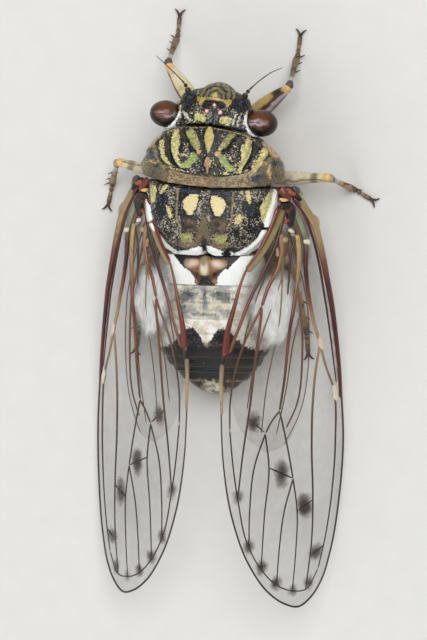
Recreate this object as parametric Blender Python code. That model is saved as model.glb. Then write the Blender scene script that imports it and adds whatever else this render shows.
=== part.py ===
"""A still, life-size cicada at rest with its wings folded like a roof over its back.

Blender 4.5, +Z up, head towards -Y, feet on the plane z = 0.
Lengths below are millimetres. x is across the body (the insect's left is +x), v runs back from
the front of its head, and z is the height over the ground. to_frame() turns them into metres.
"""

import math

import bmesh
import bpy
import numpy as np
from mathutils import Matrix, Vector
from mathutils.geometry import delaunay_2d_cdt

MM = 0.001
GAP = 0.3  # clearance between pieces that touch
CENTRE_V = 26.3  # v of the middle of the whole length, which becomes y = 0
CENTRE_X = -1.72  # x of the middle of the whole width, which becomes x = 0

# Body, front to back
NECK_V = 4.85
COLLAR_V = 11.75
MESO_BACK_V = 19.3
META_BACK_V = 23.0
PYGOFER_V = 33.3
TAIL_V = 36.4
SHIELD_Z = 8.1  # underside of the dorsal shields, where they part from the block that carries the legs
HEAD_TURN = math.radians(-4.5)
NECK_BOW = 1.1  # how far the sides of the neck seam lie behind its middle
NECK_HALF = 5.8  # half width at which that is measured
COLLAR_BOW = 0.012  # the collar's back edge lies forward at its sides by this times x squared,
COLLAR_SKEW = 0.045  # and on the left further than on the right
COLLAR_REACH = (8.8, 11.0)  # from no bend to the whole of it, along the pronotum
MESO_REACH = 15.5  # where that bend ends behind the collar
BODY_SIDES = 28
SHIELD_SIDES = 44

# Station rows are v, half width, height of the widest point, top, bottom
HEAD = (
    (1.0, 2.6, 8.3, 9.4, 6.8),
    (1.4, 3.4, 8.4, 9.9, 5.4),
    (2.3, 4.1, 8.7, 10.5, 4.5),
    (3.4, 4.9, 8.9, 11.0, 4.1),
    (NECK_V - GAP / 2, 5.75, 9.0, 11.5, 4.2),
)
PRONOTUM = (
    (NECK_V + GAP / 2, 5.7, 9.1, 11.7, 5.0),
    (5.5, 6.2, 9.15, 11.95, 5.0),
    (6.2, 6.6, 9.2, 12.25, 5.0),
    (7.2, 7.2, 9.2, 12.6, 5.0),
    (8.4, 7.8, 9.1, 12.9, 5.0),
    (9.5, 8.15, 9.1, 13.1, 5.0),
    (10.7, 8.25, 9.1, 13.2, 5.0),
    (COLLAR_V, 7.9, 9.1, 13.3, 5.0),
)
MESONOTUM = (
    (COLLAR_V + GAP, 7.3, 9.2, 13.4, 5.0),
    (14.0, 7.45, 9.3, 14.1, 5.0),
    (16.0, 7.1, 9.4, 14.4, 5.0),
    (17.6, 6.2, 9.5, 14.2, 5.0),
    (18.6, 5.2, 9.5, 13.7, 5.0),
    (MESO_BACK_V, 4.0, 9.5, 12.9, 5.0),
)
METANOTUM = (
    (MESO_BACK_V + GAP, 5.9, 9.0, 12.1, 5.0),
    (21.3, 6.3, 8.9, 12.2, 5.0),
    (META_BACK_V, 6.5, 8.8, 11.8, 5.0),
)
THORAX = (
    (5.9, 3.4, 7.4, 10.0, 5.2),
    (6.7, 4.8, 7.4, 10.0, 4.1),
    (9.0, 6.1, 7.4, 10.0, 3.2),
    (13.0, 6.7, 7.4, 10.0, 2.8),
    (18.0, 6.7, 7.4, 10.0, 2.7),
    (META_BACK_V, 6.5, 7.4, 10.0, 2.7),
)
ABDOMEN = (
    (META_BACK_V + GAP, 6.8, 7.0, 11.7, 2.5),
    (25.0, 7.4, 6.9, 11.9, 2.1),
    (27.0, 7.5, 6.6, 11.6, 1.9),
    (29.0, 7.0, 6.3, 10.9, 1.8),
    (31.0, 6.1, 5.8, 9.8, 1.8),
    (33.0, 4.8, 5.2, 8.2, 1.9),
    (34.6, 3.3, 4.7, 6.7, 2.2),
    (35.8, 1.8, 4.3, 5.5, 2.8),
    (TAIL_V, 0.5, 4.0, 4.4, 3.6),
)
TERGITE_ENDS = (25.0, 26.9, 28.6, 30.1, 31.5, 32.7)
TERGITE_STEP = 0.2  # how far the back edge of each ring stands over the next

# Head parts
EYE_AT = (5.55, 4.05, 9.42)
EYE_RADII = (1.85, 1.68, 1.85)
CLYPEUS_AT = (0.0, 2.25, 7.0)
CLYPEUS_RADII = (2.35, 2.3, 3.2)
CLYPEUS_BACK_V = 2.6
CLYPEUS_RIDGES = 7
CLYPEUS_RIDGE = 0.13
OCELLI = ((-0.12, 2.45, 10.6), (0.65, 3.2, 10.88), (-0.89, 3.2, 10.88))
OCELLUS_RADIUS = 0.3
LEDGE_AT = (3.3, 1.75, 9.35)  # the ledge over each feeler
LEDGE_RADII = (0.95, 0.85, 0.4)
ROSTRUM_LINE = ((0, 2.6, 5.2), (0, 3.4, 3.4), (0, 5.6, 2.2), (0, 8.6, 1.75), (0, 11.6, 1.5))
ROSTRUM_RADII = ((0, 0.25, 1), (0.95, 0.6, 0.28))  # shares of its length, radii
ANTENNA_AT = (3.2, 1.3, 9.0)
ANTENNA_LINES = {  # side of the body: points of the bristle, counted from its root, out, forwards, up
    1: ((1.2, 1.1, 0.5), (2.4, 2.1, 0.85), (3.6, 3.0, 1.0)),
    -1: ((1.3, 1.3, 0.5), (2.5, 2.25, 0.85), (3.9, 3.0, 1.0)),
}
ANTENNA_RADIUS = 0.26
ANTENNA_TIP_RADIUS = 0.1

# The raised cross behind the middle back: a boss, and two pairs of arms as points and radii
CROSS_BOSS = ((0, 20.9, 12.0), (0.95, 1.3, 1.0))
CROSS_ARMS = (
    (((0.3, 21.0, 12.2), (1.3, 20.5, 12.25), (2.5, 20.0, 11.8)), (0.75, 0.8, 0.45)),
    (((0.2, 21.4, 12.2), (1.0, 22.1, 12.2), (1.7, 22.7, 11.7)), (0.6, 0.45, 0.35)),
)

# Wings: a runs from the root to the tip and c across, positive towards the leading edge
WING_PLACES = {  # side of the body: root, a point beyond the tip that the wing runs towards, slope
    1: ((7.7, 11.4, 10.5), (10.7, 60.0, 3.1), math.radians(44)),
    -1: ((8.6, 12.2, 10.2), (10.2, 60.6, 3.5), math.radians(43)),
}
WING_BULGE = 1.35
WING_THICKNESS = 0.5
HINDWING_DROP = 1.3  # how far the hindwing lies inside the forewing
VEIN_STEP = 3.0
MEMBRANE_STEP = 4.5
FOREWING_EDGE = (
    (0.4, 1.2), (2.0, 2.6), (4.2, 4.1), (7, 4.8), (11, 5.5), (16, 6.3), (22.5, 6.9), (30, 6.9), (37, 5.8),
    (43, 4.0), (47, 1.9), (48.9, -0.5), (48.4, -2.9), (46.3, -5.5), (43, -7.5), (37, -9.4), (30, -10.2),
    (23.7, -10.2), (17.3, -9.7), (12.5, -8.4), (8.2, -6.5), (4.6, -3.2), (1.8, -1.3),
)
FOREWING_VEINS = {
    "radius": (0.5, ((1.2, 0.8), (3.2, 1.5), (6.1, 2.3), (9, 1.95), (12, 2.0), (15, 2.4), (18.2, 3.4))),
    "radius_front": (0.4, ((18.2, 3.4), (21, 4.2), (24, 5.4), (30, 5.4), (36, 4.5), (41, 3.2), (44.8, 1.8))),
    "radius_back": (0.4, ((18.2, 3.4), (21, 2.6), (25, 1.9), (30, 1.5), (36, 1.4), (41, 1.0), (46.9, -0.2))),
    "media": (
        0.45, ((5.0, 1.1), (7, 1.2), (9.5, 0.8), (12, 0.1), (15, -0.9), (18, -1.5), (21, -2.0), (25, -2.9)),
    ),
    "media_front": (0.4, ((25, -2.9), (29, -2.1), (33.3, -1.4))),
    "media_1": (0.35, ((33.3, -1.4), (37.4, -1.0), (42, -1.4), (46.7, -2.1))),
    "media_2": (0.35, ((33.3, -1.4), (37, -2.8), (41, -3.6), (45.6, -4.2))),
    "media_back": (0.4, ((25, -2.9), (26.2, -4.1), (27.4, -4.9))),
    "media_3": (0.35, ((27.4, -4.9), (31.5, -4.6), (37, -5.4), (43.4, -6.1))),
    "media_4": (0.35, ((27.4, -4.9), (31, -6.4), (36, -7.2), (40.6, -7.5))),
    "cubitus": (0.45, ((4.6, -1.2), (6.6, -1.2), (8.5, -1.9), (10.5, -3.5), (12.5, -4.6))),
    "cubitus_1": (0.4, ((12.5, -4.6), (18, -5.7), (24, -6.7), (29, -7.7), (34.6, -8.6))),
    "cubitus_2": (0.4, ((12.5, -4.6), (15.5, -6.6), (19, -8.1), (23, -9.0), (26.4, -9.2))),
    "claval": (
        0.5, ((1.8, -0.2), (4, -1.0), (6.5, -2.3), (8.5, -3.8), (12, -6.3), (14.5, -7.6), (17.4, -8.9)),
    ),
    "cross_radial": (0.35, ((42.2, 2.8), (43.0, 0.8))),
    "cross_radiomedial": (0.35, ((36.4, 1.4), (37.3, -1.0))),
    "cross_medial": (0.35, ((33.3, -1.4), (31.5, -4.6))),
    "cross_mediocubital": (0.35, ((27.2, -5.0), (25.3, -6.95))),
    "ambient": (
        0.35,
        ((44.8, 1.8), (46.9, -0.2), (46.7, -2.1), (45.6, -4.2), (43.4, -6.1), (40.6, -7.5), (34.6, -8.6),
         (30.5, -9.0), (26.4, -9.2)),
    ),
}
HINDWING_EDGE = (
    (4.4, 0.7), (8, 1.8), (14, 2.7), (20, 2.6), (26, 1.0), (29.6, -1.6), (30, -4.2), (27.5, -6.8),
    (23, -8.2), (18, -8.3), (13, -7.3), (9.5, -5.4), (6.8, -2.9), (4.8, -0.7),
)
HINDWING_VEINS = {
    "radius": (0.45, ((5, 0.3), (9, 1.0), (14, 1.6), (20, 1.5), (25, 0.5), (27.6, -1.2))),
    "media": (0.35, ((14, 1.6), (18, 0.2), (23, -1.0), (28.1, -2.6))),
    "media_back": (0.35, ((5.2, 0.1), (10, -0.6), (16, -1.9), (22, -3.6), (27.7, -4.6))),
    "cubitus": (0.35, ((10, -0.6), (14, -3.0), (19, -5.0), (24.6, -6.3))),
    "anal": (0.35, ((5.4, -0.3), (9, -2.6), (13, -5.0), (18.6, -7.0))),
}
LEADING_RIB = 0.55  # width of the thick vein along the leading edge, and along the claval edge
RIB_RISE = 0.3
VEIN_RISE = 0.55  # height of a vein's crest as a share of its width
FOREWING_RIBS = ((0, 23.5, True), (1, 24, False))  # from a to a, and whether on the leading edge
HINDWING_RIBS = ((0, 18, True),)
FOREWING_HINGE = ((6.0, 13.3, 9.6), (2.2, 0.4), (5.5, 1.2), (1.25, 1.15, 0.95, 0.5))
HINDWING_HINGE = ((5.8, 16.4, 8.6), (5.4, 0.1), (7.8, 0.0), (0.8, 0.75, 0.55, 0.4))

# Legs: root, trochanter, knee, ankle, tip of the foot, as x, v, z
FOOT_Z = 0.27
ANKLE_Z = 0.75
LEGS = {
    "leg_fore_l": (
        (2.5, 7.0, 4.4), (2.4, 4.0, 2.9), (6.1, -1.9, 4.7), (5.7, -4.9, ANKLE_Z), (5.5, -7.4, FOOT_Z),
    ),
    "leg_fore_r": (
        (-2.5, 7.0, 4.4), (-2.8, 4.6, 2.9), (-8.05, 0.5, 4.7), (-8.4, -2.8, ANKLE_Z), (-8.7, -5.3, FOOT_Z),
    ),
    "leg_mid_l": (
        (3.6, 12.0, 4.0), (5.4, 11.2, 2.5), (11.8, 9.5, 5.0), (13.2, 12.2, ANKLE_Z), (13.7, 14.7, FOOT_Z),
    ),
    "leg_mid_r": (
        (-3.6, 12.0, 4.0), (-5.4, 11.2, 2.5), (-12.9, 10.8, 5.0), (-15.2, 12.3, ANKLE_Z),
        (-17.3, 13.5, FOOT_Z),
    ),
    "leg_hind_l": (
        (3.6, 18.2, 4.0), (5.2, 18.9, 2.3), (9.2, 22.0, 4.3), (9.9, 29.0, ANKLE_Z), (10.2, 31.6, FOOT_Z),
    ),
    "leg_hind_r": (
        (-3.6, 18.2, 4.0), (-5.2, 18.9, 2.3), (-9.2, 22.0, 4.3), (-9.9, 29.0, ANKLE_Z), (-10.2, 31.6, FOOT_Z),
    ),
}
FEMUR_RADII = {
    "fore": (0.55, 1.0, 0.95, 0.55),
    "mid": (0.5, 0.75, 0.75, 0.5),
    "hind": (0.5, 0.75, 0.75, 0.5),
}
TIBIA_RADII = (0.5, 0.42, 0.42, 0.48)
TARSUS_RADII = (0.42, 0.34, 0.36, 0.3)
COXA_RADII = (1.25, 1.2, 0.85, 0.6)
FEMUR_SPINES = ((0.35, 1.0), (0.62, 0.9), (0.84, 0.6))  # share of the femur, length
TIBIA_SPINES = ((0.45, 0.7), (0.72, 0.7), (0.95, 0.8))
CLAW_LENGTH = 0.8
LEG_SIDES = 8

# Name, base colour, roughness
COLOURS = {
    "cuticle_head": ((0.10, 0.11, 0.05), 0.5),
    "cuticle_back": ((0.09, 0.09, 0.05), 0.5),
    "cuticle_belly": ((0.45, 0.38, 0.22), 0.6),
    "cuticle_abdomen": ((0.06, 0.06, 0.05), 0.5),
    "eye": ((0.10, 0.04, 0.02), 0.15),
    "wing": ((0.35, 0.22, 0.14), 0.3),
    "leg": ((0.50, 0.36, 0.15), 0.5),
    "feeler": ((0.05, 0.04, 0.03), 0.5),
}


def smooth(rows, at):
    """The columns after the first, read at a value of the first, on a smooth curve through the rows."""
    table = np.array(rows, float)
    keys, values = table[:, 0], table[:, 1:]
    slopes = np.gradient(values, keys, axis=0)
    k = int(np.clip(np.searchsorted(keys, at) - 1, 0, len(keys) - 2))
    span = keys[k + 1] - keys[k]
    t = np.clip((at - keys[k]) / span, 0, 1)
    return (
        (1 + 2 * t) * (1 - t) ** 2 * values[k]
        + t * (1 - t) ** 2 * span * slopes[k]
        + t * t * (3 - 2 * t) * values[k + 1]
        - t * t * (1 - t) * span * slopes[k + 1]
    )


def through(points, step):
    """Points about one step apart on a smooth line through the given ones, ends kept."""
    knots = np.array(points, float)
    lengths = np.concatenate([[0], np.cumsum(np.linalg.norm(np.diff(knots, axis=0), axis=1))])
    rows = np.column_stack([lengths, knots])
    count = max(1, round(lengths[-1] / step))
    return [smooth(rows, s) for s in np.linspace(0, lengths[-1], count + 1)]


def section(v, half_width, wide_z, top_z, bottom_z, power=2.25, sides=BODY_SIDES):
    """A ring across the body at v: a superellipse with its own height above and below its widest point."""
    ring = []
    for k in range(sides):
        turn = math.tau * k / sides
        across, up = math.cos(turn), math.sin(turn)
        x = half_width * math.copysign(abs(across) ** (2 / power), across)
        reach = top_z - wide_z if up > 0 else wide_z - bottom_z
        ring.append(Vector((x, v, wide_z + reach * math.copysign(abs(up) ** (2 / power), up))))
    return ring


def loft(rings, ruled=False):
    """A closed body through rings of equal count, with a cap at each end.

    A ruled cap is made of strips between points above each other, so that it may be bent along x.
    """
    bm = bmesh.new()
    loops = [[bm.verts.new(point) for point in ring] for ring in rings]
    for first, second in zip(loops, loops[1:]):
        for k in range(len(first)):
            n = (k + 1) % len(first)
            bm.faces.new((first[k], first[n], second[n], second[k]))
    for loop in (loops[0], loops[-1]):
        count = len(loop)
        caps = [loop]
        if ruled:
            caps = [[loop[k], loop[k + 1], loop[-k - 1], loop[-k]] for k in range(count // 2)]
        for cap in caps:
            bm.faces.new(list(dict.fromkeys(cap)))
    bmesh.ops.recalc_face_normals(bm, faces=bm.faces)
    return bm


def body(rows, places, grow=0.0, relief=None, bend=None, sides=BODY_SIDES):
    """A stretch of the body lofted through its stations. grow makes it that much larger on every side.

    relief(x, v) raises or lowers its upper side, and bend(x, v) moves a place back along the body.
    """
    rings = []
    for n, v in enumerate(places):
        half_width, wide_z, top_z, bottom_z = smooth(rows, v)
        shift = grow * ((n == len(places) - 1) - (n == 0))
        ring = section(v + shift, half_width + grow, wide_z, top_z + grow, bottom_z - grow, sides=sides)
        for point in ring:
            if relief and point.z > wide_z:
                point.z += relief(point.x, v) * min(1, (point.z - wide_z) / (0.5 * (top_z - wide_z)))
            if bend:
                point.y += bend(point.x, v)
        rings.append(ring)
    return loft(rings, ruled=True)


def cut(bm, point, normal):
    """Takes away what lies on the normal's side of a plane and closes the cut."""
    found = bmesh.ops.bisect_plane(
        bm, geom=[*bm.verts, *bm.edges, *bm.faces], plane_co=point, plane_no=normal, clear_outer=True
    )
    edges = [part for part in found["geom_cut"] if isinstance(part, bmesh.types.BMEdge)]
    bmesh.ops.contextual_create(bm, geom=edges)
    bmesh.ops.recalc_face_normals(bm, faces=bm.faces)
    return bm


def ellipsoid(at, radii, rows=11, sides=16):
    """A closed ellipsoid with its poles along z."""
    rings = []
    for k in range(1, rows):
        polar = math.pi * k / rows
        rings.append([
            Vector((
                at[0] + radii[0] * math.sin(polar) * math.cos(math.tau * n / sides),
                at[1] + radii[1] * math.sin(polar) * math.sin(math.tau * n / sides),
                at[2] - radii[2] * math.cos(polar),
            ))
            for n in range(sides)
        ])
    return loft(rings)


def tube(points, radii, sides=LEG_SIDES):
    """A round bar of changing radius along points, a ring square to the path at each."""
    points = [Vector(p) for p in points]
    ahead, behind = [*points[1:], points[-1]], [points[0], *points[:-1]]
    along = [(after - before).normalized() for after, before in zip(ahead, behind)]
    lead = Vector((0, 0, 1)) if abs(along[0].z) < 0.9 else Vector((1, 0, 0))
    rings = []
    for point, direction, radius in zip(points, along, map(float, radii)):
        side = direction.cross(lead).normalized()
        lead = side.cross(direction).normalized()
        rings.append([
            point + radius * (math.cos(math.tau * k / sides) * side + math.sin(math.tau * k / sides) * lead)
            for k in range(sides)
        ])
    return loft(rings)


def limb(start, end, radii, sides=LEG_SIDES):
    """A straight length of leg with its radii spread evenly and both ends drawn in round."""
    start, end = Vector(start), Vector(end)
    shares = [k / (len(radii) - 1) for k in range(len(radii))]
    points = [start.lerp(end, share) for share in shares]
    along = (end - start).normalized()
    points = [start - along * radii[0] * 0.6, *points, end + along * radii[-1] * 0.6]
    return tube(points, [radii[0] * 0.55, *radii, radii[-1] * 0.55], sides)


def thing(name, bm):
    """An object from a bmesh, with its faces facing out, linked to the scene."""
    bmesh.ops.triangulate(bm, faces=bm.faces)
    mesh = bpy.data.meshes.new(name)
    bm.to_mesh(mesh)
    bm.free()
    made = bpy.data.objects.new(name, mesh)
    bpy.context.scene.collection.objects.link(made)
    return made


def keep_largest(mesh):
    """Leaves only the closed surface that holds the most."""
    bm = bmesh.new()
    bm.from_mesh(mesh)
    left, islands = set(bm.faces), []
    while left:
        stack, island = [left.pop()], []
        while stack:
            face = stack.pop()
            island.append(face)
            for edge in face.edges:
                for other in edge.link_faces:
                    if other in left:
                        left.remove(other)
                        stack.append(other)
        islands.append(island)

    def held(island):
        total = 0.0
        for face in island:
            corners = [vert.co for vert in face.verts]
            for k in range(1, len(corners) - 1):
                total += corners[0].dot(corners[k].cross(corners[k + 1])) / 6
        return total

    islands.sort(key=held, reverse=True)
    spare = [face for island in islands[1:] for face in island]
    bmesh.ops.delete(bm, geom=spare, context="FACES")
    bmesh.ops.triangulate(bm, faces=bm.faces)
    bm.to_mesh(mesh)
    bm.free()


def combine(base, pieces, operation):
    """Applies one Boolean of all the pieces to the base object and removes them."""
    group = bpy.data.collections.new("pieces")
    bpy.context.scene.collection.children.link(group)
    for piece in pieces:
        bpy.context.scene.collection.objects.unlink(piece)
        group.objects.link(piece)
    modifier = base.modifiers.new(operation.lower(), "BOOLEAN")
    modifier.operation = operation
    modifier.solver = "EXACT"
    modifier.operand_type = "COLLECTION"
    modifier.collection = group
    bpy.context.view_layer.update()
    graph = bpy.context.evaluated_depsgraph_get()
    mesh = bpy.data.meshes.new_from_object(base.evaluated_get(graph))
    base.modifiers.clear()
    base.data = mesh
    keep_largest(mesh)
    for piece in pieces:
        bpy.data.objects.remove(piece)
    bpy.data.collections.remove(group)
    return base


def turned(bm):
    """Turns a piece of the head about the neck."""
    pivot = Vector((0, NECK_V, 0))
    matrix = Matrix.Translation(pivot) @ Matrix.Rotation(HEAD_TURN, 4, "Z") @ Matrix.Translation(-pivot)
    bm.transform(matrix)
    return bm


def evenly(start, end, step):
    """Evenly spread values from start to end, about a step apart."""
    return list(np.linspace(start, end, max(2, round((end - start) / step) + 1)))


def head_bend(x, v):
    """The back of the head is hollowed in an arc, which fades out towards its front."""
    return NECK_BOW * (x / NECK_HALF) ** 2 * max(0.0, (v - 1.4) / (NECK_V - 1.4)) ** 1.5


def head_body(grow=0.0):
    return body(HEAD, evenly(HEAD[0][0], HEAD[-1][0], 0.6), grow, bend=head_bend)


def eye_body(side, grow=0.0):
    at = (side * EYE_AT[0], EYE_AT[1], EYE_AT[2])
    return ellipsoid(at, [radius + grow for radius in EYE_RADII])


def clypeus_body(grow=0.0):
    """The swollen front of the face, crossed by ridges on both sides of a smooth middle line."""
    radii = [radius + grow for radius in CLYPEUS_RADII]
    bm = ellipsoid(CLYPEUS_AT, radii, rows=3 * CLYPEUS_RIDGES, sides=18)
    if not grow:
        for vert in bm.verts:
            polar = math.acos(max(-1, min(1, (vert.co.z - CLYPEUS_AT[2]) / CLYPEUS_RADII[2])))
            wave = 0.5 - 0.5 * math.cos(2 * CLYPEUS_RIDGES * polar)
            flank = min(1, abs(vert.co.x) / 0.6)
            pull = 1 - CLYPEUS_RIDGE * wave * flank / CLYPEUS_RADII[0]
            vert.co.x *= pull
            vert.co.y = CLYPEUS_AT[1] + (vert.co.y - CLYPEUS_AT[1]) * pull
    return cut(bm, (0, CLYPEUS_BACK_V + grow, 0), (0, 1, 0))


def ledge_body(side, grow=0.0):
    at = (side * LEDGE_AT[0], LEDGE_AT[1], LEDGE_AT[2])
    return ellipsoid(at, [radius + grow for radius in LEDGE_RADII], 6, 12)


def make_head():
    """Head capsule with its three ocelli and the ledges over the feelers, hollowed for eyes and face."""
    head = thing("head", turned(head_body()))
    grown = [thing("bump", turned(ellipsoid(at, [OCELLUS_RADIUS] * 3, 6, 10))) for at in OCELLI]
    grown += [thing("ledge", turned(ledge_body(side))) for side in (-1, 1)]
    combine(head, grown, "UNION")
    hollows = [thing("hollow", turned(eye_body(side, GAP))) for side in (-1, 1)]
    hollows.append(thing("hollow", turned(clypeus_body(GAP))))
    return combine(head, hollows, "DIFFERENCE")


def head_and_ledge(side):
    """The head grown by the gap, with the ledge over one feeler, to cut the feeler's root square."""
    grown = thing("grown", head_body(GAP))
    combine(grown, [thing("ledge", ledge_body(side, GAP))], "UNION")
    bm = bmesh.new()
    bm.from_mesh(grown.data)
    bpy.data.objects.remove(grown)
    return bm


def make_antenna(name, side):
    """A stout base joint and a bristle that tapers to its tip."""
    base = Vector((side * ANTENNA_AT[0], ANTENNA_AT[1], ANTENNA_AT[2]))
    tip = base + Vector((side * 0.55, -0.9, 0.15))
    line = [tip + Vector((side * x, -v, z)) for x, v, z in ANTENNA_LINES[side]]
    points = [Vector(p) for p in through([tip - (tip - base) * 0.4, tip, *line], 1.1)]
    radii = np.linspace(ANTENNA_RADIUS, ANTENNA_TIP_RADIUS, len(points))
    bristle = thing("bristle", turned(tube(points, radii, 6)))
    root = base + Vector((-side * 0.6, 1.2, 0))
    stem = thing(name, turned(tube([root, base, tip], [0.42, 0.42, 0.36])))
    combine(stem, [bristle], "UNION")
    return combine(stem, [thing("skull", turned(head_and_ledge(side)))], "DIFFERENCE")


def make_rostrum():
    """The beak, from under the face back between the front legs."""
    line = through(ROSTRUM_LINE, 1.2)
    radii = np.interp(np.linspace(0, 1, len(line)), *ROSTRUM_RADII)
    rostrum = thing("rostrum", turned(tube(line, radii)))
    cutters = [thing("cutter", turned(cutter)) for cutter in (head_body(GAP), clypeus_body(GAP))]
    return combine(rostrum, cutters, "DIFFERENCE")


def pronotum_relief(x, v):
    """The disc inside the collar's groove, with its two pairs of slanting furrows."""
    across = abs(x)
    rim = math.hypot(across / 6.0, max(0.0, v - 7.0) / 3.8) - 1
    groove = 0.3 * math.exp(-((rim / 0.07) ** 2)) * min(1.0, max(0.0, v - 5.5))
    inner = across - (2.8 - 0.6 * (v - 5.4))
    outer = across - (4.6 - 0.25 * (v - 5.4))
    inner_reach = max(0.0, min(1.0, (8.4 - v) / 0.8))
    outer_reach = max(0.0, min(1.0, (10.2 - v) / 0.8))
    furrows = 0.22 * inner_reach * math.exp(-((inner / 0.4) ** 2))
    furrows += 0.3 * outer_reach * math.exp(-((outer / 0.45) ** 2))
    return -groove - furrows


def collar_bend(x):
    """How far back of COLLAR_V the seam behind the collar lies, at a place across it."""
    return -COLLAR_BOW * x * x - COLLAR_SKEW * x


def pronotum_bend(x, v):
    """Its front follows the hollow back of the turned head, and its back the bowed collar."""
    start, end = COLLAR_REACH
    front = max(0.0, (start - v) / (start - NECK_V))
    back = max(0.0, min(1.0, (v - start) / (end - start)))
    return (NECK_BOW * (x / NECK_HALF) ** 2 + math.tan(HEAD_TURN) * x) * front + collar_bend(x) * back


def pronotum_body(grow=0.0, step=0.5, relief=None):
    line = evenly(PRONOTUM[0][0], COLLAR_V, step)
    bm = body(PRONOTUM, line, grow, relief, pronotum_bend, SHIELD_SIDES)
    return cut(bm, (0, 0, SHIELD_Z - grow), (0, 0, -1))


def mesonotum_bend(x, v):
    """Its front follows the collar, and a notch lies in the middle of its back edge."""
    notch = -0.4 * math.exp(-((x / 0.6) ** 2)) * max(0.0, (v - 17.0) / (MESO_BACK_V - 17.0))
    front = max(0.0, min(1.0, (MESO_REACH - v) / (MESO_REACH - COLLAR_V - GAP)))
    return notch + collar_bend(x) * front


def mesonotum_relief(x, v):
    """A shallow groove ahead of the raised edge at its back and sides."""
    reach = math.hypot(x / 7.1, max(0.0, v - 14.0) / 5.4)
    return 0.1 * max(0.0, min(1.0, (reach - 0.9) / 0.06)) - 0.12 * math.exp(-(((reach - 0.86) / 0.05) ** 2))


def mesonotum_body(grow=0.0, relief=None):
    line = evenly(COLLAR_V + GAP, MESO_BACK_V, 0.6)
    bm = body(MESONOTUM, line, grow, relief, mesonotum_bend, 36)
    return cut(bm, (0, 0, SHIELD_Z - grow), (0, 0, -1))


def metanotum_body(grow=0.0):
    bm = body(METANOTUM, evenly(MESO_BACK_V + GAP, META_BACK_V, 0.85), grow)
    return cut(bm, (0, 0, SHIELD_Z - grow), (0, 0, -1))


def make_metanotum():
    """The plate behind the middle back, with the raised cross that a cicada carries there."""
    metanotum = thing("metanotum", metanotum_body())
    arms = [ellipsoid(*CROSS_BOSS, 8, 14)]
    for side in (-1, 1):
        for line, radii in CROSS_ARMS:
            arms.append(tube([(side * x, v, z) for x, v, z in line], radii))
    combine(metanotum, [thing("arm", arm) for arm in arms], "UNION")
    back = thing("back", abdomen_body(GAP))
    front = thing("front", mesonotum_body(GAP))
    return combine(metanotum, [back, front], "DIFFERENCE")


def thorax_body(grow=0.0):
    bm = body(THORAX, evenly(THORAX[0][0], META_BACK_V, 1.4), grow)
    return cut(bm, (0, 0, SHIELD_Z - GAP + grow), (0, 0, 1))


def abdomen_places():
    """Ring places: each tergite swells to its back edge, then drops to the next."""
    values = [(META_BACK_V + GAP, 0.0)]
    for start, end in zip((META_BACK_V + GAP, *TERGITE_ENDS), TERGITE_ENDS):
        values += [(start + 0.55 * (end - start), 0.6), (end - 0.12, 1.0), (end, 0.0)]
    return values


def abdomen_body(grow=0.0):
    rings = []
    for v, swell in (*abdomen_places(), (PYGOFER_V - GAP, 0.5)):
        half_width, wide_z, top_z, bottom_z = smooth(ABDOMEN, v)
        out = grow + TERGITE_STEP * swell
        back = grow * ((v > PYGOFER_V - 1.5 * GAP) - (v < META_BACK_V + 1.5 * GAP))
        rings.append(section(v + back, half_width + out, wide_z, top_z + out, bottom_z - out))
    return loft(rings)


def pygofer_body():
    """The last rings of the abdomen, drawn to a point with a short beak at its tip."""
    rings = []
    for v in (PYGOFER_V, 33.9, 34.4, 34.45, 35.0, 35.6, 36.1, TAIL_V):
        half_width, wide_z, top_z, bottom_z = smooth(ABDOMEN, v)
        step = TERGITE_STEP if 33.8 < v < 34.42 else 0.0
        rings.append(section(v, half_width + step, wide_z, top_z + step, bottom_z - step))
    return loft(rings)


def underside(x, v):
    """Height of the lowest surface of thorax or abdomen at a place, to lay the covers against."""
    lowest = 99.0
    for rows in (THORAX, ABDOMEN):
        half_width, wide_z, _, bottom_z = smooth(rows, v)
        share = 1 - min(1.0, abs(x) / half_width) ** 2.25
        lowest = min(lowest, wide_z - (wide_z - bottom_z) * share ** (1 / 2.25))
    return lowest


def operculum_body(side):
    """One of the two plates that cover the drums under the base of the abdomen."""
    middle, reach_x, reach_v = (side * 3.0, 24.2), 2.6, 3.5
    rows, sides = 5, 18
    upper, lower = [], []
    for k in range(rows):
        share = (k + 1) / rows
        for n in range(sides):
            turn = math.tau * n / sides
            x = middle[0] + side * reach_x * share * math.cos(turn) * (1 - 0.2 * math.sin(turn) * share)
            v = middle[1] + reach_v * share * math.sin(turn)
            top = underside(x, v) - GAP - TERGITE_STEP
            edge = 0.5 if share < 0.9 else 0.42
            upper.append((x, v, top))
            lower.append((x, v, top - edge))
    bm = bmesh.new()
    tops = [bm.verts.new(p) for p in upper]
    bottoms = [bm.verts.new(p) for p in lower]
    centre = underside(*middle) - GAP - TERGITE_STEP
    ends = (bm.verts.new((*middle, centre)), bm.verts.new((*middle, centre - 0.5)))
    for verts, pole, flip in ((tops, ends[0], False), (bottoms, ends[1], True)):
        for n in range(sides):
            m = (n + 1) % sides
            faces = [(pole, verts[n], verts[m])]
            for k in range(rows - 1):
                a, b = verts[k * sides + n], verts[k * sides + m]
                faces += [(a, verts[(k + 1) * sides + n], verts[(k + 1) * sides + m]),
                          (a, verts[(k + 1) * sides + m], b)]
            for face in faces:
                bm.faces.new(face[::-1] if flip else face)
    last = (rows - 1) * sides
    for n in range(sides):
        m = (n + 1) % sides
        bm.faces.new((tops[last + n], bottoms[last + n], bottoms[last + m], tops[last + m]))
    bmesh.ops.recalc_face_normals(bm, faces=bm.faces)
    return bm


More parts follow.
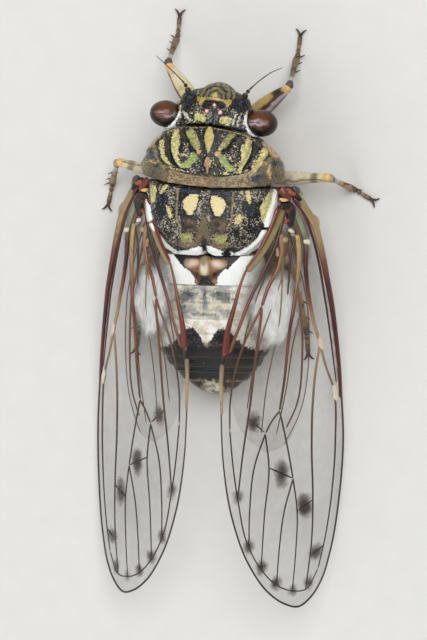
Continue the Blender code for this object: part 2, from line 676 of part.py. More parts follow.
def wing_axes(side):
    """Root, and the directions along the wing, across it to the leading edge, and out of its face."""
    root, tip, slope = WING_PLACES[side]
    root = Vector((side * root[0], *root[1:]))
    along = (Vector((side * tip[0], *tip[1:])) - root).normalized()
    across = Vector((side * math.cos(slope), 0, -math.sin(slope)))
    across = (across - along * across.dot(along)).normalized()
    out = along.cross(across) * -side
    return root, along, across, out


def wing_point(side, a, c, height=0.0):
    """A place on the folded wing. Its sheet is arched a little across its width."""
    root, along, across, out = wing_axes(side)
    rise = min(1.0, max(0.0, a / 14)) ** 1.5
    arch = WING_BULGE * rise * max(0.0, 1 - ((c + 1.6) / 8.6) ** 2)
    return root + along * a + across * c + out * (arch + height)


def inside(point, loop):
    """Whether a point of the plane lies in a closed loop."""
    crossings = 0
    for (ax, ay), (bx, by) in zip(loop, [*loop[1:], loop[0]]):
        if (ay > point[1]) != (by > point[1]) and point[0] < (bx - ax) * (point[1] - ay) / (by - ay) + ax:
            crossings += 1
    return crossings % 2 == 1


def away_from(point, lines):
    """Distance from a point to the nearest of some open lines."""
    best = 1e9
    for line in lines:
        for start, end in zip(line, line[1:]):
            span = end - start
            t = np.clip(np.dot(point - start, span) / np.dot(span, span), 0, 1)
            best = min(best, float(np.linalg.norm(point - start - t * span)))
    return best


def wing_plan(loop, lines, widths):
    """The wing's flat triangulation: its outline, each vein's crest and its two feet, and the membrane."""
    points, edges = list(loop), [(k, (k + 1) % len(loop)) for k in range(len(loop))]
    clear = [loop + [loop[0]]]

    def lay(line, others):
        """Adds a line to the triangulation, without the points that crowd other lines or the edge."""
        last = None
        for point in line:
            if away_from(point, others) < 0.22 or not inside(point, loop):
                last = None
                continue
            points.append(point)
            if last is not None:
                edges.append((last, len(points) - 1))
            last = len(points) - 1

    for name, line in lines.items():
        lay(line, clear)
        clear.append(line)
    for name, line in lines.items():
        others = [other for key, other in lines.items() if key != name] + [clear[0]]
        steps = np.gradient(np.array(line), axis=0)
        square = np.column_stack([-steps[:, 1], steps[:, 0]]) / np.linalg.norm(steps, axis=1)[:, None]
        for hand in (-1, 1):
            lay([p + hand * widths[name] * q for p, q in zip(line, square)], others)
    taken = [np.array(p) for p in points]
    for a in np.arange(2.0, 49.0, MEMBRANE_STEP):
        for c in np.arange(-9.0, 7.0, MEMBRANE_STEP * 0.6):
            place = np.array((a, c))
            if inside(place, loop) and min(np.linalg.norm(place - p) for p in taken) > 0.9:
                points.append(place)
    made, _, faces, *_ = delaunay_2d_cdt([Vector(p) for p in points], edges, [], 1, 1e-4)
    return made, faces


def vein_rise(place, loop, lines, widths, ribs):
    """How far the wing's face is raised at a place by the veins and by the ribs along its edge."""
    spot = np.array(place)
    rise = 0.0
    for name, line in lines.items():
        share = 1 - away_from(spot, [line]) / widths[name]
        rise = max(rise, VEIN_RISE * widths[name] * max(0.0, share))
    near = away_from(spot, [loop + [loop[0]]])
    for low, high, upper in ribs:
        if low <= place.x <= high and (place.y > 0) == upper:
            rise = max(rise, RIB_RISE * max(0.0, 1 - near / LEADING_RIB))
    return rise


def wing_body(side, edge, veins, drop, ribs):
    """A thin curved sheet, split alike on both faces, with its veins raised on both.

    ribs lists stretches of the edge, by the a of their ends, that carry a thick vein.
    """
    loop = through([*edge, edge[0]], 2.4)[:-1]
    lines = {name: [np.array(p) for p in through(points, VEIN_STEP)] for name, (_, points) in veins.items()}
    widths = {name: width for name, (width, _) in veins.items()}
    made, faces = wing_plan(loop, lines, widths)
    bm = bmesh.new()
    half = WING_THICKNESS / 2
    tops, bottoms = [], []
    for place in made:
        rise = vein_rise(place, loop, lines, widths, ribs)
        tops.append(bm.verts.new(wing_point(side, place.x, place.y, half + rise - drop)))
        bottoms.append(bm.verts.new(wing_point(side, place.x, place.y, -half - 0.5 * rise - drop)))
    borders = {}
    for face in faces:
        bm.faces.new([tops[k] for k in face])
        bm.faces.new([bottoms[k] for k in reversed(face)])
        for pair in zip(face, [*face[1:], face[0]]):
            if (pair[1], pair[0]) in borders:
                del borders[(pair[1], pair[0])]
            else:
                borders[pair] = True
    for first, second in borders:
        bm.faces.new((tops[second], tops[first], bottoms[first], bottoms[second]))
    loose = [vert for vert in bm.verts if not vert.link_faces]
    bmesh.ops.delete(bm, geom=loose, context="VERTS")
    bmesh.ops.recalc_face_normals(bm, faces=bm.faces)
    return bm


def make_wing(name, side, edge, veins, drop, ribs, hinge):
    """A wing with the knuckle at its root, cut back from the body by the gap.

    hinge gives the knuckle's start on the body, two places on the wing, and its radii.
    """
    wing = thing(name, wing_body(side, edge, veins, drop, ribs))
    root, middle, end, radii = hinge
    start = Vector((side * root[0], root[1], root[2]))
    middle = wing_point(side, *middle, -drop)
    end = wing_point(side, *end, -drop)
    knuckle = thing("knuckle", tube([start, start.lerp(middle, 0.6), middle, end], radii))
    combine(wing, [knuckle], "UNION")
    shields = [
        thing("shield", pronotum_body(GAP, 1.0)),
        thing("shield", mesonotum_body(GAP)),
        thing("shield", metanotum_body(GAP)),
        thing("shield", thorax_body(GAP)),
    ]
    return combine(wing, shields, "DIFFERENCE")


def claws(ankle, tip):
    """The pair of hooks at the end of a foot."""
    foot = (tip - ankle)
    foot.z = 0
    foot.normalize()
    spread = Vector((-foot.y, foot.x, 0))
    pair = []
    for hand in (-1, 1):
        bow = tip + (foot + spread * 0.55 * hand) * CLAW_LENGTH * 0.6 + Vector((0, 0, 0.12))
        end = tip + (foot + spread * 0.8 * hand) * CLAW_LENGTH + Vector((0, 0, 0.02))
        pair.append(tube([tip - foot * 0.2, bow, end], [0.26, 0.2, 0.08], 6))
    return pair


def femur_spines(trochanter, knee):
    """Teeth under the thick femur of a front leg."""
    down = Vector((0, 0, -1)) + (knee - trochanter).normalized() * 0.3
    roots = [(trochanter.lerp(knee, share), length) for share, length in FEMUR_SPINES]
    return [tube([root, root + down * (0.7 + length)], [0.34, 0.1], 6) for root, length in roots]


def tibia_spines(knee, ankle):
    """Spines on the outer side of a tibia, slanting to the foot."""
    aside = Vector((math.copysign(0.8, knee.x), 0, 0)) + (ankle - knee).normalized() * 0.7
    roots = [(knee.lerp(ankle, share), length) for share, length in TIBIA_SPINES]
    return [tube([root, root + aside * (0.3 + length)], [0.26, 0.08], 5) for root, length in roots]


def make_leg(name, joints):
    """Coxa, femur, tibia and foot with its claws, cut back from the thorax and flat under the foot."""
    kind = name.split("_")[1]
    root, trochanter, knee, ankle, tip = (Vector(joint) for joint in joints)
    leg = thing(name, limb(root, trochanter, COXA_RADII))
    pieces = [
        limb(trochanter, knee, FEMUR_RADII[kind]),
        limb(knee, ankle, TIBIA_RADII),
        limb(ankle - Vector((0, 0, ANKLE_Z - FOOT_Z - 0.08)), tip, TARSUS_RADII),
        tube([ankle, ankle - Vector((0, 0, ANKLE_Z - FOOT_Z))], [TIBIA_RADII[-1] * 0.9] * 2),
        *claws(ankle, tip),
        *tibia_spines(knee, ankle),
    ]
    if kind == "fore":
        pieces += femur_spines(trochanter, knee)
    combine(leg, [thing("piece", piece) for piece in pieces], "UNION")
    combine(leg, [thing("carrier", thorax_body(GAP))], "DIFFERENCE")
    bm = bmesh.new()
    bm.from_mesh(leg.data)
    cut(bm, (0, 0, 0), (0, 0, -1))
    bmesh.ops.triangulate(bm, faces=bm.faces)
    bm.to_mesh(leg.data)
    bm.free()
    return leg


def to_frame(made, colour, root):
    """Scales a finished piece to metres, moves it into the frame and gives it its material."""
    made.data.transform(Matrix.Translation((-CENTRE_X * MM, -CENTRE_V * MM, 0)) @ Matrix.Scale(MM, 4))
    made.data.shade_smooth()
    made.data.set_sharp_from_angle(angle=math.radians(40))
    material = bpy.data.materials.get(colour)
    if material is None:
        base, roughness = COLOURS[colour]
        material = bpy.data.materials.new(colour)
        material.use_nodes = True
        shader = material.node_tree.nodes["Principled BSDF"]
        shader.inputs["Base Color"].default_value = (*base, 1)
        shader.inputs["Roughness"].default_value = roughness
        shader.inputs["Metallic"].default_value = 0.0
    made.data.materials.clear()
    made.data.materials.append(material)
    made.parent = root


def main():
    for old in list(bpy.data.objects):
        bpy.data.objects.remove(old)
    root = bpy.data.objects.new("cicada", None)
    bpy.context.scene.collection.objects.link(root)
    nodes = [
        (make_head(), "cuticle_head"),
        (thing("clypeus", turned(clypeus_body())), "cuticle_head"),
        (make_rostrum(), "cuticle_belly"),
        (thing("pronotum", pronotum_body(relief=pronotum_relief)), "cuticle_back"),
        (thing("mesonotum", mesonotum_body(relief=mesonotum_relief)), "cuticle_back"),
        (make_metanotum(), "cuticle_back"),
        (thing("thorax", thorax_body()), "cuticle_belly"),
        (thing("abdomen", abdomen_body()), "cuticle_abdomen"),
        (thing("pygofer", pygofer_body()), "cuticle_abdomen"),
    ]
    forewing = (FOREWING_EDGE, FOREWING_VEINS, 0.0, FOREWING_RIBS, FOREWING_HINGE)
    hindwing = (HINDWING_EDGE, HINDWING_VEINS, HINDWING_DROP, HINDWING_RIBS, HINDWING_HINGE)
    for side, hand in ((1, "l"), (-1, "r")):
        nodes += [
            (thing(f"eye_{hand}", turned(eye_body(side))), "eye"),
            (make_antenna(f"antenna_{hand}", side), "feeler"),
            (thing(f"operculum_{hand}", operculum_body(side)), "cuticle_belly"),
            (make_wing(f"forewing_{hand}", side, *forewing), "wing"),
            (make_wing(f"hindwing_{hand}", side, *hindwing), "wing"),
        ]
    for name, joints in LEGS.items():
        nodes.append((make_leg(name, joints), "leg"))
    for made, colour in nodes:
        to_frame(made, colour, root)


main()
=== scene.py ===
"""Looks for the cicada: marked shells, veined wings, polished eyes, banded legs and fine hair.

Lengths are millimetres in the body's own places, as in the solids: x across (the insect's left
is +x), v back from the front of its head, z up. placed() turns them into the frame's metres.
A mark is a float on every vertex, the distance inside a marking's edge, which its material reads.
"""

import itertools
import math
from types import SimpleNamespace

import bpy
import numpy as np
from mathutils import Matrix, Vector


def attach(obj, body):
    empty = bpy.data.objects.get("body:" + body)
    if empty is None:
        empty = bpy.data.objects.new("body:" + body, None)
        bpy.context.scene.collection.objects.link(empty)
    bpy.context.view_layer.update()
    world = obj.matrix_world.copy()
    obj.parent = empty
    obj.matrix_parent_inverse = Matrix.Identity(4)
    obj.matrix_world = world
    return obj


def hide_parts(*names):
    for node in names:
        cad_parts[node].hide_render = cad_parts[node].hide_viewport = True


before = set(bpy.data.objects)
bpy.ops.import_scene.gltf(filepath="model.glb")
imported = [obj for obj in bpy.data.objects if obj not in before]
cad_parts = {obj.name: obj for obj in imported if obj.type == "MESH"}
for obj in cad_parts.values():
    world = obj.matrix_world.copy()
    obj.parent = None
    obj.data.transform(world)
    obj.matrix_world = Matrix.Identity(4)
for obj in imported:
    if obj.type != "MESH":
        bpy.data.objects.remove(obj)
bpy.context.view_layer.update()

MM = 0.001
CENTRE = np.array((-1.72, 26.3, 0.0))  # the body place of the frame's origin
HANDS = ((1, "l"), (-1, "r"))  # side of the body: 1 is the insect's left
FINE = 0.09  # spacing of the points on the shells
UNEVEN = 0.03  # how far their surface strays from its stations
RIM = 0.16  # how round the edges of the shields are
RIM_STEPS = 4  # rings that round an edge
UNDER_SIDES = 40  # points across the flat underside of a shield
LATTICE = 24  # points along each side of the random lattices
STEEP = 0.9  # upward share of a line that counts as upright
FAR = -99.0  # well outside every mark
OFF = -1.0  # outside a mark, where a shell doesn't show it
CLEAR = -2.0  # outside a mark of the wings

# Body, front to back
GAP = 0.3
NECK_V = 4.85
COLLAR_FRONT_V = 10.5  # the collar's wrinkles and the painted shade of its creases start here
COLLAR_V = 11.75
MESO_BACK_V = 19.3
META_BACK_V = 23.0
PYGOFER_V = 33.3
TAIL_V = 36.4
SHIELD_Z = 8.1  # underside of the dorsal shields
HEAD_TURN = math.radians(-4.5)
NECK_BOW = 1.1  # how far the sides of the neck seam lie behind its middle
NECK_HALF = 5.8
COLLAR_BOW = 0.012  # the collar's back edge lies forward at its sides by this times x squared,
COLLAR_SKEW = 0.045  # and on the left further than on the right
COLLAR_REACH = (8.8, 11.0)
MESO_REACH = 15.5
POWER = 2.25  # of the superellipse that the body's sections follow
MIDLINE = 0.2  # the middle of the markings behind the collar lies a little to the left

# Station rows are v, half width, height of the widest point, top, bottom
HEAD = (
    (0.35, 0.3, 8.2, 8.4, 8.0),
    (0.55, 1.2, 8.2, 8.9, 7.4),
    (1.0, 2.6, 8.3, 9.4, 6.8),
    (1.4, 3.4, 8.4, 9.9, 5.4),
    (2.3, 4.1, 8.7, 10.5, 4.5),
    (3.4, 4.9, 8.9, 11.0, 4.1),
    (4.7, 5.75, 9.0, 11.5, 4.2),
)
PRONOTUM = (
    (5.0, 5.7, 9.1, 11.7, 5.0),
    (5.5, 6.2, 9.15, 11.95, 5.0),
    (6.2, 6.6, 9.2, 12.25, 5.0),
    (7.2, 7.2, 9.2, 12.6, 5.0),
    (8.4, 7.8, 9.1, 12.9, 5.0),
    (9.5, 8.15, 9.1, 13.1, 5.0),
    (10.7, 8.25, 9.1, 13.2, 5.0),
    (COLLAR_V, 7.9, 9.1, 13.3, 5.0),
)
MESONOTUM = (
    (COLLAR_V + GAP, 7.3, 9.2, 13.4, 5.0),
    (14.0, 7.45, 9.3, 14.1, 5.0),
    (16.0, 7.1, 9.4, 14.4, 5.0),
    (17.6, 6.2, 9.5, 14.2, 5.0),
    (18.6, 5.2, 9.5, 13.7, 5.0),
    (MESO_BACK_V, 4.0, 9.5, 12.9, 5.0),
)
METANOTUM = (
    (MESO_BACK_V + GAP, 5.9, 9.0, 12.1, 5.0),
    (21.3, 6.3, 8.9, 12.2, 5.0),
    (META_BACK_V, 6.5, 8.8, 11.8, 5.0),
)
THORAX = (
    (5.9, 3.4, 7.4, 10.0, 5.2),
    (6.7, 4.8, 7.4, 10.0, 4.1),
    (9.0, 6.1, 7.4, 10.0, 3.2),
    (13.0, 6.7, 7.4, 10.0, 2.8),
    (18.0, 6.7, 7.4, 10.0, 2.7),
    (META_BACK_V, 6.5, 7.4, 10.0, 2.7),
)
ABDOMEN = (
    (META_BACK_V + GAP, 6.8, 7.0, 11.7, 2.5),
    (25.0, 7.4, 6.9, 11.9, 2.1),
    (27.0, 7.5, 6.6, 11.6, 1.9),
    (29.0, 7.0, 6.3, 10.9, 1.8),
    (31.0, 6.1, 5.8, 9.8, 1.8),
    (33.0, 4.8, 5.2, 8.2, 1.9),
    (34.6, 3.3, 4.7, 6.7, 2.2),
    (35.8, 1.8, 4.3, 5.5, 2.8),
    (TAIL_V, 0.5, 4.0, 4.4, 3.6),
)
TERGITE_ENDS = (25.0, 26.9, 28.6, 30.1, 31.5, 32.7)
TERGITE_STEP = 0.2

# Eyes and clypeus
EYE_AT = (5.55, 4.05, 9.42)
EYE_RADII = (1.85, 1.54, 1.85)
CLYPEUS_AT = (0.0, 2.25, 7.0)
CLYPEUS_RADII = (2.35, 2.3, 3.2)
CLYPEUS_RIDGES = 7
CLYPEUS_BACK_V = 2.6
OCELLI = ((-0.12, 2.45, 0.16), (0.65, 3.2, 0.2), (-0.89, 3.2, 0.23))  # x, v, radius of the pale lens
OCELLUS_RADII = (0.3, 0.3, 0.22)

# Wings: a runs from the root to the tip and c across, positive towards the leading edge
WING_PLACES = {  # side of the body: root, a point beyond the tip that the wing runs towards, slope
    1: ((7.7, 11.4, 10.5), (10.7, 60.0, 3.1), math.radians(44)),
    -1: ((8.6, 12.2, 10.2), (10.2, 60.6, 3.5), math.radians(43)),
}
WING_BULGE = 1.35  # height of the arch across the sheet
ARCH_A = 14.0  # how far from the root it reaches its height
ARCH_C = -1.6  # where it is highest
ARCH_HALF = 8.6  # how far it reaches to either side of that
HINDWING_DROP = 1.3
MEMBRANE_HALF = 0.03  # half the thickness of the membrane
FOREWING_LEADING = (
    (0.4, 1.2), (2.0, 2.6), (4.2, 4.1), (7, 4.8), (11, 5.5), (16, 6.3), (22.5, 6.9), (30, 6.9), (37, 5.8),
    (43, 4.0), (46.5, 2.2), (48.1, 0.6), (48.7, -0.4), (48.9, -1.3),
)
FOREWING_TRAILING = (
    (0.4, 1.2), (1.8, -1.3), (4.6, -3.2), (8.2, -6.5), (12.5, -8.4), (17.3, -9.7), (23.7, -10.2),
    (30, -10.2), (37, -9.4), (43, -7.5), (46.3, -5.5), (48.1, -3.4), (48.7, -2.2), (48.9, -1.3),
)
HINDWING_LEADING = ((4.4, 0.7), (8, 1.8), (14, 2.7), (20, 2.6), (26, 1.0), (29.6, -1.6), (30, -4.2))
HINDWING_TRAILING = (
    (4.4, 0.7), (4.8, -0.7), (6.8, -2.9), (9.5, -5.4), (13, -7.3), (18, -8.3), (23, -8.2), (27.5, -6.8),
    (30, -4.2),
)

# Colours by name, as sRGB codes
INKS = {
    "black": "#0c0e10", "navy": "#17212c", "soot": "#070809", "steel": "#2c3f58", "gold": "#c0a762",
    "cream": "#ead9a2", "yellow": "#cdc277", "sand": "#a8966f", "green": "#b2b570", "moss": "#77763f",
    "leaf": "#869a57", "olive": "#6b6747", "khaki": "#8e845b", "brown": "#4f3826", "umber": "#2d2019",
    "bark": "#77634e", "tan": "#a08560", "white": "#f7f9f5", "silver": "#c6c9c8", "slate": "#3f4e58",
    "grey": "#787a73", "pink": "#e0c8b6", "rose": "#efb9c6", "wine": "#3c1415", "red": "#54211c",
    "brick": "#6a2717", "rust": "#78452d", "amber": "#8d6239", "peach": "#e3b87c", "salmon": "#9c4f30",
    # eye_lit is the painted light on the top of an eye; lilac paints the eyes' reflection and a stripe on
    # the right fore femur
    "eye": "#1b0f08", "eye_lit": "#6d401b", "lilac": "#b3a7b1", "bone": "#ddd4bd", "sage": "#898f72",
    "crimson": "#8a1c36", "tooth": "#a89a3c", "lime": "#b9bd72", "dusk": "#4b4744", "mist": "#9da2a1",
}

# Veins: radius at its two ends, colours along it, and points
FOREWING_VEINS = {
    "costa": (0.5, 0.26, ("khaki", "tan", "tan", "rust", "red", "red", "wine", "red", "red", "red"),
              ((1.0, 1.7), (2.2, 2.5), (4.3, 3.7), (7, 4.4), (11, 5.1), (16, 5.9), (22.5, 6.55),
               (25.4, 6.6))),
    "rim": (0.16, 0.07, ("brown", "umber", "umber", "umber", "brown"),
            ((25.0, 6.75), (30, 6.8), (37, 5.7), (43, 3.9), (46.4, 2.15), (48.0, 0.5), (48.75, -1.3),
             (48.0, -3.3), (46.2, -5.4), (43, -7.4), (37, -9.3), (30, -10.1), (23.7, -10.1))),
    "radius": (0.36, 0.22, ("sage", "sage", "red", "wine", "rust", "tan", "tan"),
               ((2.2, 1.0), (4.0, 1.75), (6.1, 2.3), (9, 2.0), (12, 2.0), (15, 2.4), (18.2, 3.4))),
    "subcosta": (0.2, 0.1, ("brick", "wine", "wine", "wine", "brown"),
                 ((0.9, 1.1), (2.8, 2.3), (5.6, 3.3), (9, 4.0), (13, 4.5), (18, 5.2), (23.4, 5.9))),
    "loop": (0.22, 0.1, ("salmon", "rust", "red", "wine", "wine", "red"),
             ((3.6, -0.6), (3.3, 0.1), (3.8, 0.8), (4.9, 1.15), (5.8, 0.8), (7, 0.1), (9, -0.35),
              (11.8, -1.0))),
    "radius_front": (0.18, 0.08, ("tan", "brown", "umber", "umber"),
                     ((18.2, 3.4), (21, 4.2), (24, 5.4), (30, 5.4), (36, 4.5), (41, 3.2), (44.8, 1.8))),
    "radius_back": (0.18, 0.08, ("tan", "brown", "umber", "umber"),
                    ((18.2, 3.4), (21, 2.6), (25, 1.9), (30, 1.5), (36, 1.4), (41, 1.0), (46.9, -0.2))),
    "media": (0.34, 0.13, ("gold", "tan", "rust", "red", "rust", "brown", "brown"),
              ((5.0, 1.1), (7, 1.2), (9.5, 0.8), (12, 0.1), (15, -0.9), (18, -1.5), (21, -2.0),
               (25, -2.9))),
    "media_front": (0.12, 0.1, ("brown", "umber"), ((25, -2.9), (29, -2.1), (33.3, -1.4))),
    "media_1": (0.1, 0.07, ("umber",), ((33.3, -1.4), (37.4, -1.0), (42, -1.4), (46.7, -2.1))),
    "media_2": (0.1, 0.07, ("umber",), ((33.3, -1.4), (37, -2.8), (41, -3.6), (45.6, -4.2))),
    "media_back": (0.12, 0.1, ("brown", "umber"), ((25, -2.9), (26.2, -4.1), (27.4, -4.9))),
    "media_3": (0.1, 0.07, ("umber",), ((27.4, -4.9), (31.5, -4.6), (37, -5.4), (43.4, -6.1))),
    "media_4": (0.1, 0.07, ("umber",), ((27.4, -4.9), (31, -6.4), (36, -7.2), (40.6, -7.5))),
    "cubitus": (0.3, 0.18, ("tan", "amber", "rust", "rust"),
                ((4.6, -1.2), (6.6, -1.2), (8.5, -1.9), (10.5, -3.5), (12.5, -4.6))),
    "cubitus_1": (0.17, 0.08, ("rust", "brown", "umber"),
                  ((12.5, -4.6), (18, -5.7), (24, -6.7), (29, -7.7), (34.6, -8.6))),
    "cubitus_2": (0.15, 0.08, ("rust", "brown", "brown"),
                  ((12.5, -4.6), (15.5, -6.6), (19, -8.1), (23, -9.0), (26.4, -9.2))),
    "claval": (0.24, 0.16, ("brick", "wine", "wine", "red", "rust", "rust"),
               ((1.8, -0.2), (4, -1.0), (6.5, -2.3), (8.5, -3.8), (12, -6.3), (14.5, -7.6), (17.4, -8.9))),
    "inner": (0.12, 0.37, ("rust", "rust", "brick", "brick", "brick"),
              ((8.0, -6.1), (9.4, -6.9), (12.2, -8.05), (14.4, -8.85), (17.6, -9.45))),
    "knot": (0.34, 0.22, ("brick", "soot", "navy"), ((17.1, -9.4), (18.9, -9.75))),
    "inner_end": (0.24, 0.14, ("bark", "sand", "tan"), ((18.4, -9.75), (20.6, -9.95), (24.6, -10.05))),
    "cross_radial": (0.08, 0.08, ("umber",), ((42.2, 2.8), (43.0, 0.8))),
    "cross_radiomedial": (0.09, 0.09, ("umber",), ((36.4, 1.4), (37.3, -1.0))),
    "cross_medial": (0.09, 0.09, ("umber",), ((33.3, -1.4), (31.5, -4.6))),
    "cross_mediocubital": (0.1, 0.1, ("brown",), ((27.2, -5.0), (25.3, -6.95))),
    "ambient": (0.08, 0.08, ("umber",),
                ((44.8, 1.8), (46.9, -0.2), (46.7, -2.1), (45.6, -4.2), (43.4, -6.1), (40.6, -7.5),
                 (34.6, -8.6), (30.5, -9.0), (26.4, -9.2))),
}
HINDWING_VEINS = {
    "radius": (0.2, 0.1, ("tan", "rust", "brown"),
               ((5, 0.3), (9, 1.0), (14, 1.6), (20, 1.5), (25, 0.5), (27.6, -1.2))),
    "media": (0.1, 0.06, ("rust", "brown"), ((14, 1.6), (18, 0.2), (23, -1.0), (28.1, -2.6))),
    "media_back": (0.14, 0.06, ("tan", "brown"),
                   ((5.2, 0.1), (10, -0.6), (16, -1.9), (22, -3.6), (27.7, -4.6))),
    "cubitus": (0.12, 0.06, ("tan", "brown"), ((10, -0.6), (14, -3.0), (19, -5.0), (24.6, -6.3))),
    "anal": (0.14, 0.06, ("tan", "brown"), ((5.4, -0.3), (9, -2.6), (13, -5.0), (18.6, -7.0))),
    "edge": (0.1, 0.05, ("tan", "brown", "brown"),
             ((4.5, 0.7), (8, 1.75), (14, 2.65), (20, 2.55), (26, 0.95), (29.5, -1.6))),
}
SMOKE = (  # dark clouds on the forewing's membrane: a, c, half length, half width
    (26.0, -6.2, 0.9, 0.6), (32.4, -2.9, 1.3, 0.8), (36.9, 0.2, 1.2, 0.9), (42.7, 1.6, 0.8, 0.9),
    (46.2, 0.3, 0.6, 0.5), (46.6, -2.1, 0.5, 0.4), (45.4, -4.2, 0.6, 0.5), (43.2, -6.1, 0.6, 0.5),
    (40.4, -7.5, 0.6, 0.4), (34.4, -8.6, 0.6, 0.4),
)
WING_KNOBS = (  # a, c, height over the sheet, half length, half width, half thickness, angle, ink
    (24.5, 5.6, 0.02, 1.2, 0.42, 0.22, 10, "bone"), (18.1, 3.45, 0.02, 1.15, 0.34, 0.22, 14, "pink"),
    (4.0, 4.05, 0.0, 0.8, 0.34, 0.26, 20, "sand"), (6.1, 2.42, 0.1, 0.5, 0.34, 0.28, 60, "bone"),
    (4.55, 0.25, 0.1, 0.5, 0.26, 0.3, 60, "bone"), (5.05, 0.5, 0.08, 0.4, 0.22, 0.28, 70, "sage"),
    (5.4, -0.7, 0.12, 0.42, 0.33, 0.3, 50, "sand"), (6.7, -1.85, 0.05, 0.5, 0.24, 0.28, 0, "tan"),
    (2.3, 0.4, 0.12, 0.55, 0.24, 0.28, -10, "grey"), (0.2, 0.55, 0.3, 0.55, 0.32, 0.36, 70, "salmon"),
    (0.8, -0.6, 0.3, 0.6, 0.24, 0.3, 80, "peach"), (-0.1, 1.2, 0.3, 0.6, 0.42, 0.36, 40, "dusk"),
    (0.3, -0.2, 0.15, 0.95, 0.5, 0.4, 35, "brick"), (1.6, -0.2, 0.1, 0.9, 0.45, 0.42, 75, "soot"),
    (1.4, 1.4, 0.12, 0.8, 0.34, 0.36, 35, "red"), (0.5, 1.75, 0.2, 0.5, 0.34, 0.34, 30, "khaki"),
)

# Legs: root, trochanter, knee, ankle and tip of the foot, as x outwards, v, z
ANKLE_Z = 0.75
FOOT_Z = 0.27
HIND_LEG = (
    (3.6, 18.2, 4.0), (5.2, 18.9, 2.3), (9.2, 22.0, 4.3), (9.9, 29.0, ANKLE_Z), (10.2, 31.6, FOOT_Z),
)
LEGS = {
    "leg_fore_l": (
        (2.5, 7.0, 4.4), (2.4, 4.0, 2.9), (6.1, -1.9, 4.7), (5.7, -4.9, ANKLE_Z), (5.5, -7.4, FOOT_Z),
    ),
    "leg_fore_r": (
        (2.5, 7.0, 4.4), (2.8, 4.6, 2.9), (8.05, 0.5, 4.7), (8.4, -2.8, ANKLE_Z), (8.7, -5.3, FOOT_Z),
    ),
    "leg_mid_l": (
        (3.6, 12.0, 4.0), (5.4, 11.2, 2.5), (11.8, 9.5, 5.0), (13.2, 12.2, ANKLE_Z), (13.7, 14.7, FOOT_Z),
    ),
    "leg_mid_r": (
        (3.6, 12.0, 4.0), (5.4, 11.2, 2.5), (12.9, 10.8, 5.0), (15.2, 12.3, ANKLE_Z), (17.3, 13.5, FOOT_Z),
    ),
    "leg_hind_l": HIND_LEG,
    "leg_hind_r": HIND_LEG,
}
COXA_RADII = ((0, 1.2), (0.4, 1.15), (0.75, 0.8), (1, 0.6))  # share of the length, radius
FEMUR_RADII = ((0, 0.5), (0.25, 0.98), (0.5, 1.02), (0.8, 0.7))  # times how stout the leg is
KNEE_RADII = ((0.93, 0.52), (1, 0.5))
TIBIA_RADII = ((0, 0.5), (0.08, 0.5), (0.2, 0.34), (0.6, 0.34), (0.92, 0.42), (1, 0.4))
TARSUS_JOINTS = ((-0.04, 0.22, 0.34), (0.2, 0.42, 0.3), (0.4, 1.0, 0.27))  # start, end, radius
FEMUR_SPINES = ((0.35, 1.0), (0.62, 0.9), (0.84, 0.6))  # share of the femur, length
TIBIA_SPINES = ((0.45, 0.7), (0.72, 0.7), (0.95, 0.8))
SLENDER = 0.78  # how stout the middle and hind femora are beside the fore ones
SHIN_BOW = np.array((0, 0, 0.12))  # how far the middle of a tibia rises
CLAW_LENGTH = 0.8


# Curves, noise and marks

def ink(name):
    """The linear colour of a named ink."""
    code = INKS[name]
    values = [int(code[k:k + 2], 16) / 255 for k in (1, 3, 5)]
    return np.array([((v + 0.055) / 1.055) ** 2.4 if v > 0.04045 else v / 12.92 for v in values] + [1.0])


def placed(points):
    """Body millimetres turned into the frame's metres."""
    return (np.asarray(points, float) - CENTRE) * MM


def smooth(rows, at):
    """The columns after the first, read at values of the first, on a smooth curve through the rows."""
    table = np.array(rows, float)
    keys, values = table[:, 0], table[:, 1:]
    slopes = np.gradient(values, keys, axis=0)
    at = np.atleast_1d(np.asarray(at, float))
    k = np.clip(np.searchsorted(keys, at) - 1, 0, len(keys) - 2)
    span = (keys[k + 1] - keys[k])[:, None]
    t = np.clip((at - keys[k])[:, None] / span, 0, 1)
    return (
        (1 + 2 * t) * (1 - t) ** 2 * values[k]
        + t * (1 - t) ** 2 * span * slopes[k]
        + t * t * (3 - 2 * t) * values[k + 1]
        - t * t * (1 - t) * span * slopes[k + 1]
    )


def through(points, count):
    """That many points, evenly spaced on a smooth line through the given ones."""
    knots = np.array(points, float)
    lengths = np.concatenate([[0], np.cumsum(np.linalg.norm(np.diff(knots, axis=0), axis=1))])
    return smooth(np.column_stack([lengths, knots]), np.linspace(0, lengths[-1], count))


def length(points):
    """Length of the straight line through the points."""
    return float(np.linalg.norm(np.diff(np.array(points, float), axis=0), axis=1).sum())


def ease(values, low, high):
    """0 below low, 1 above high and smooth between them."""
    t = np.clip((values - low) / (high - low), 0, 1)
    return t * t * (3 - 2 * t)


def noise(points, size, seed):
    """Smooth values from -1 to 1 at points, from a random lattice of that size."""
    lattice = np.random.default_rng(seed).uniform(-1, 1, (LATTICE,) * 3)
    at = np.asarray(points).reshape(-1, 3) / size
    low = np.floor(at).astype(int)
    t = ease(at - low, 0, 1)
    total = np.zeros(len(at))
    for corner in itertools.product((0, 1), repeat=3):
        weight = np.prod(np.where(corner, t, 1 - t), axis=1)
        total += weight * lattice[tuple(((low + corner) % LATTICE).T)]
    return total.reshape(np.asarray(points).shape[:-1])


def blob(x, v, at, radii, turn=0.0):
    """How far inside an ellipse each place is, negative outside. turn is in degrees."""
    cos, sin = math.cos(math.radians(turn)), math.sin(math.radians(turn))
    along = ((x - at[0]) * cos + (v - at[1]) * sin) / radii[0]
    across = ((v - at[1]) * cos - (x - at[0]) * sin) / radii[1]
    return (1 - np.hypot(along, across)) * min(radii)


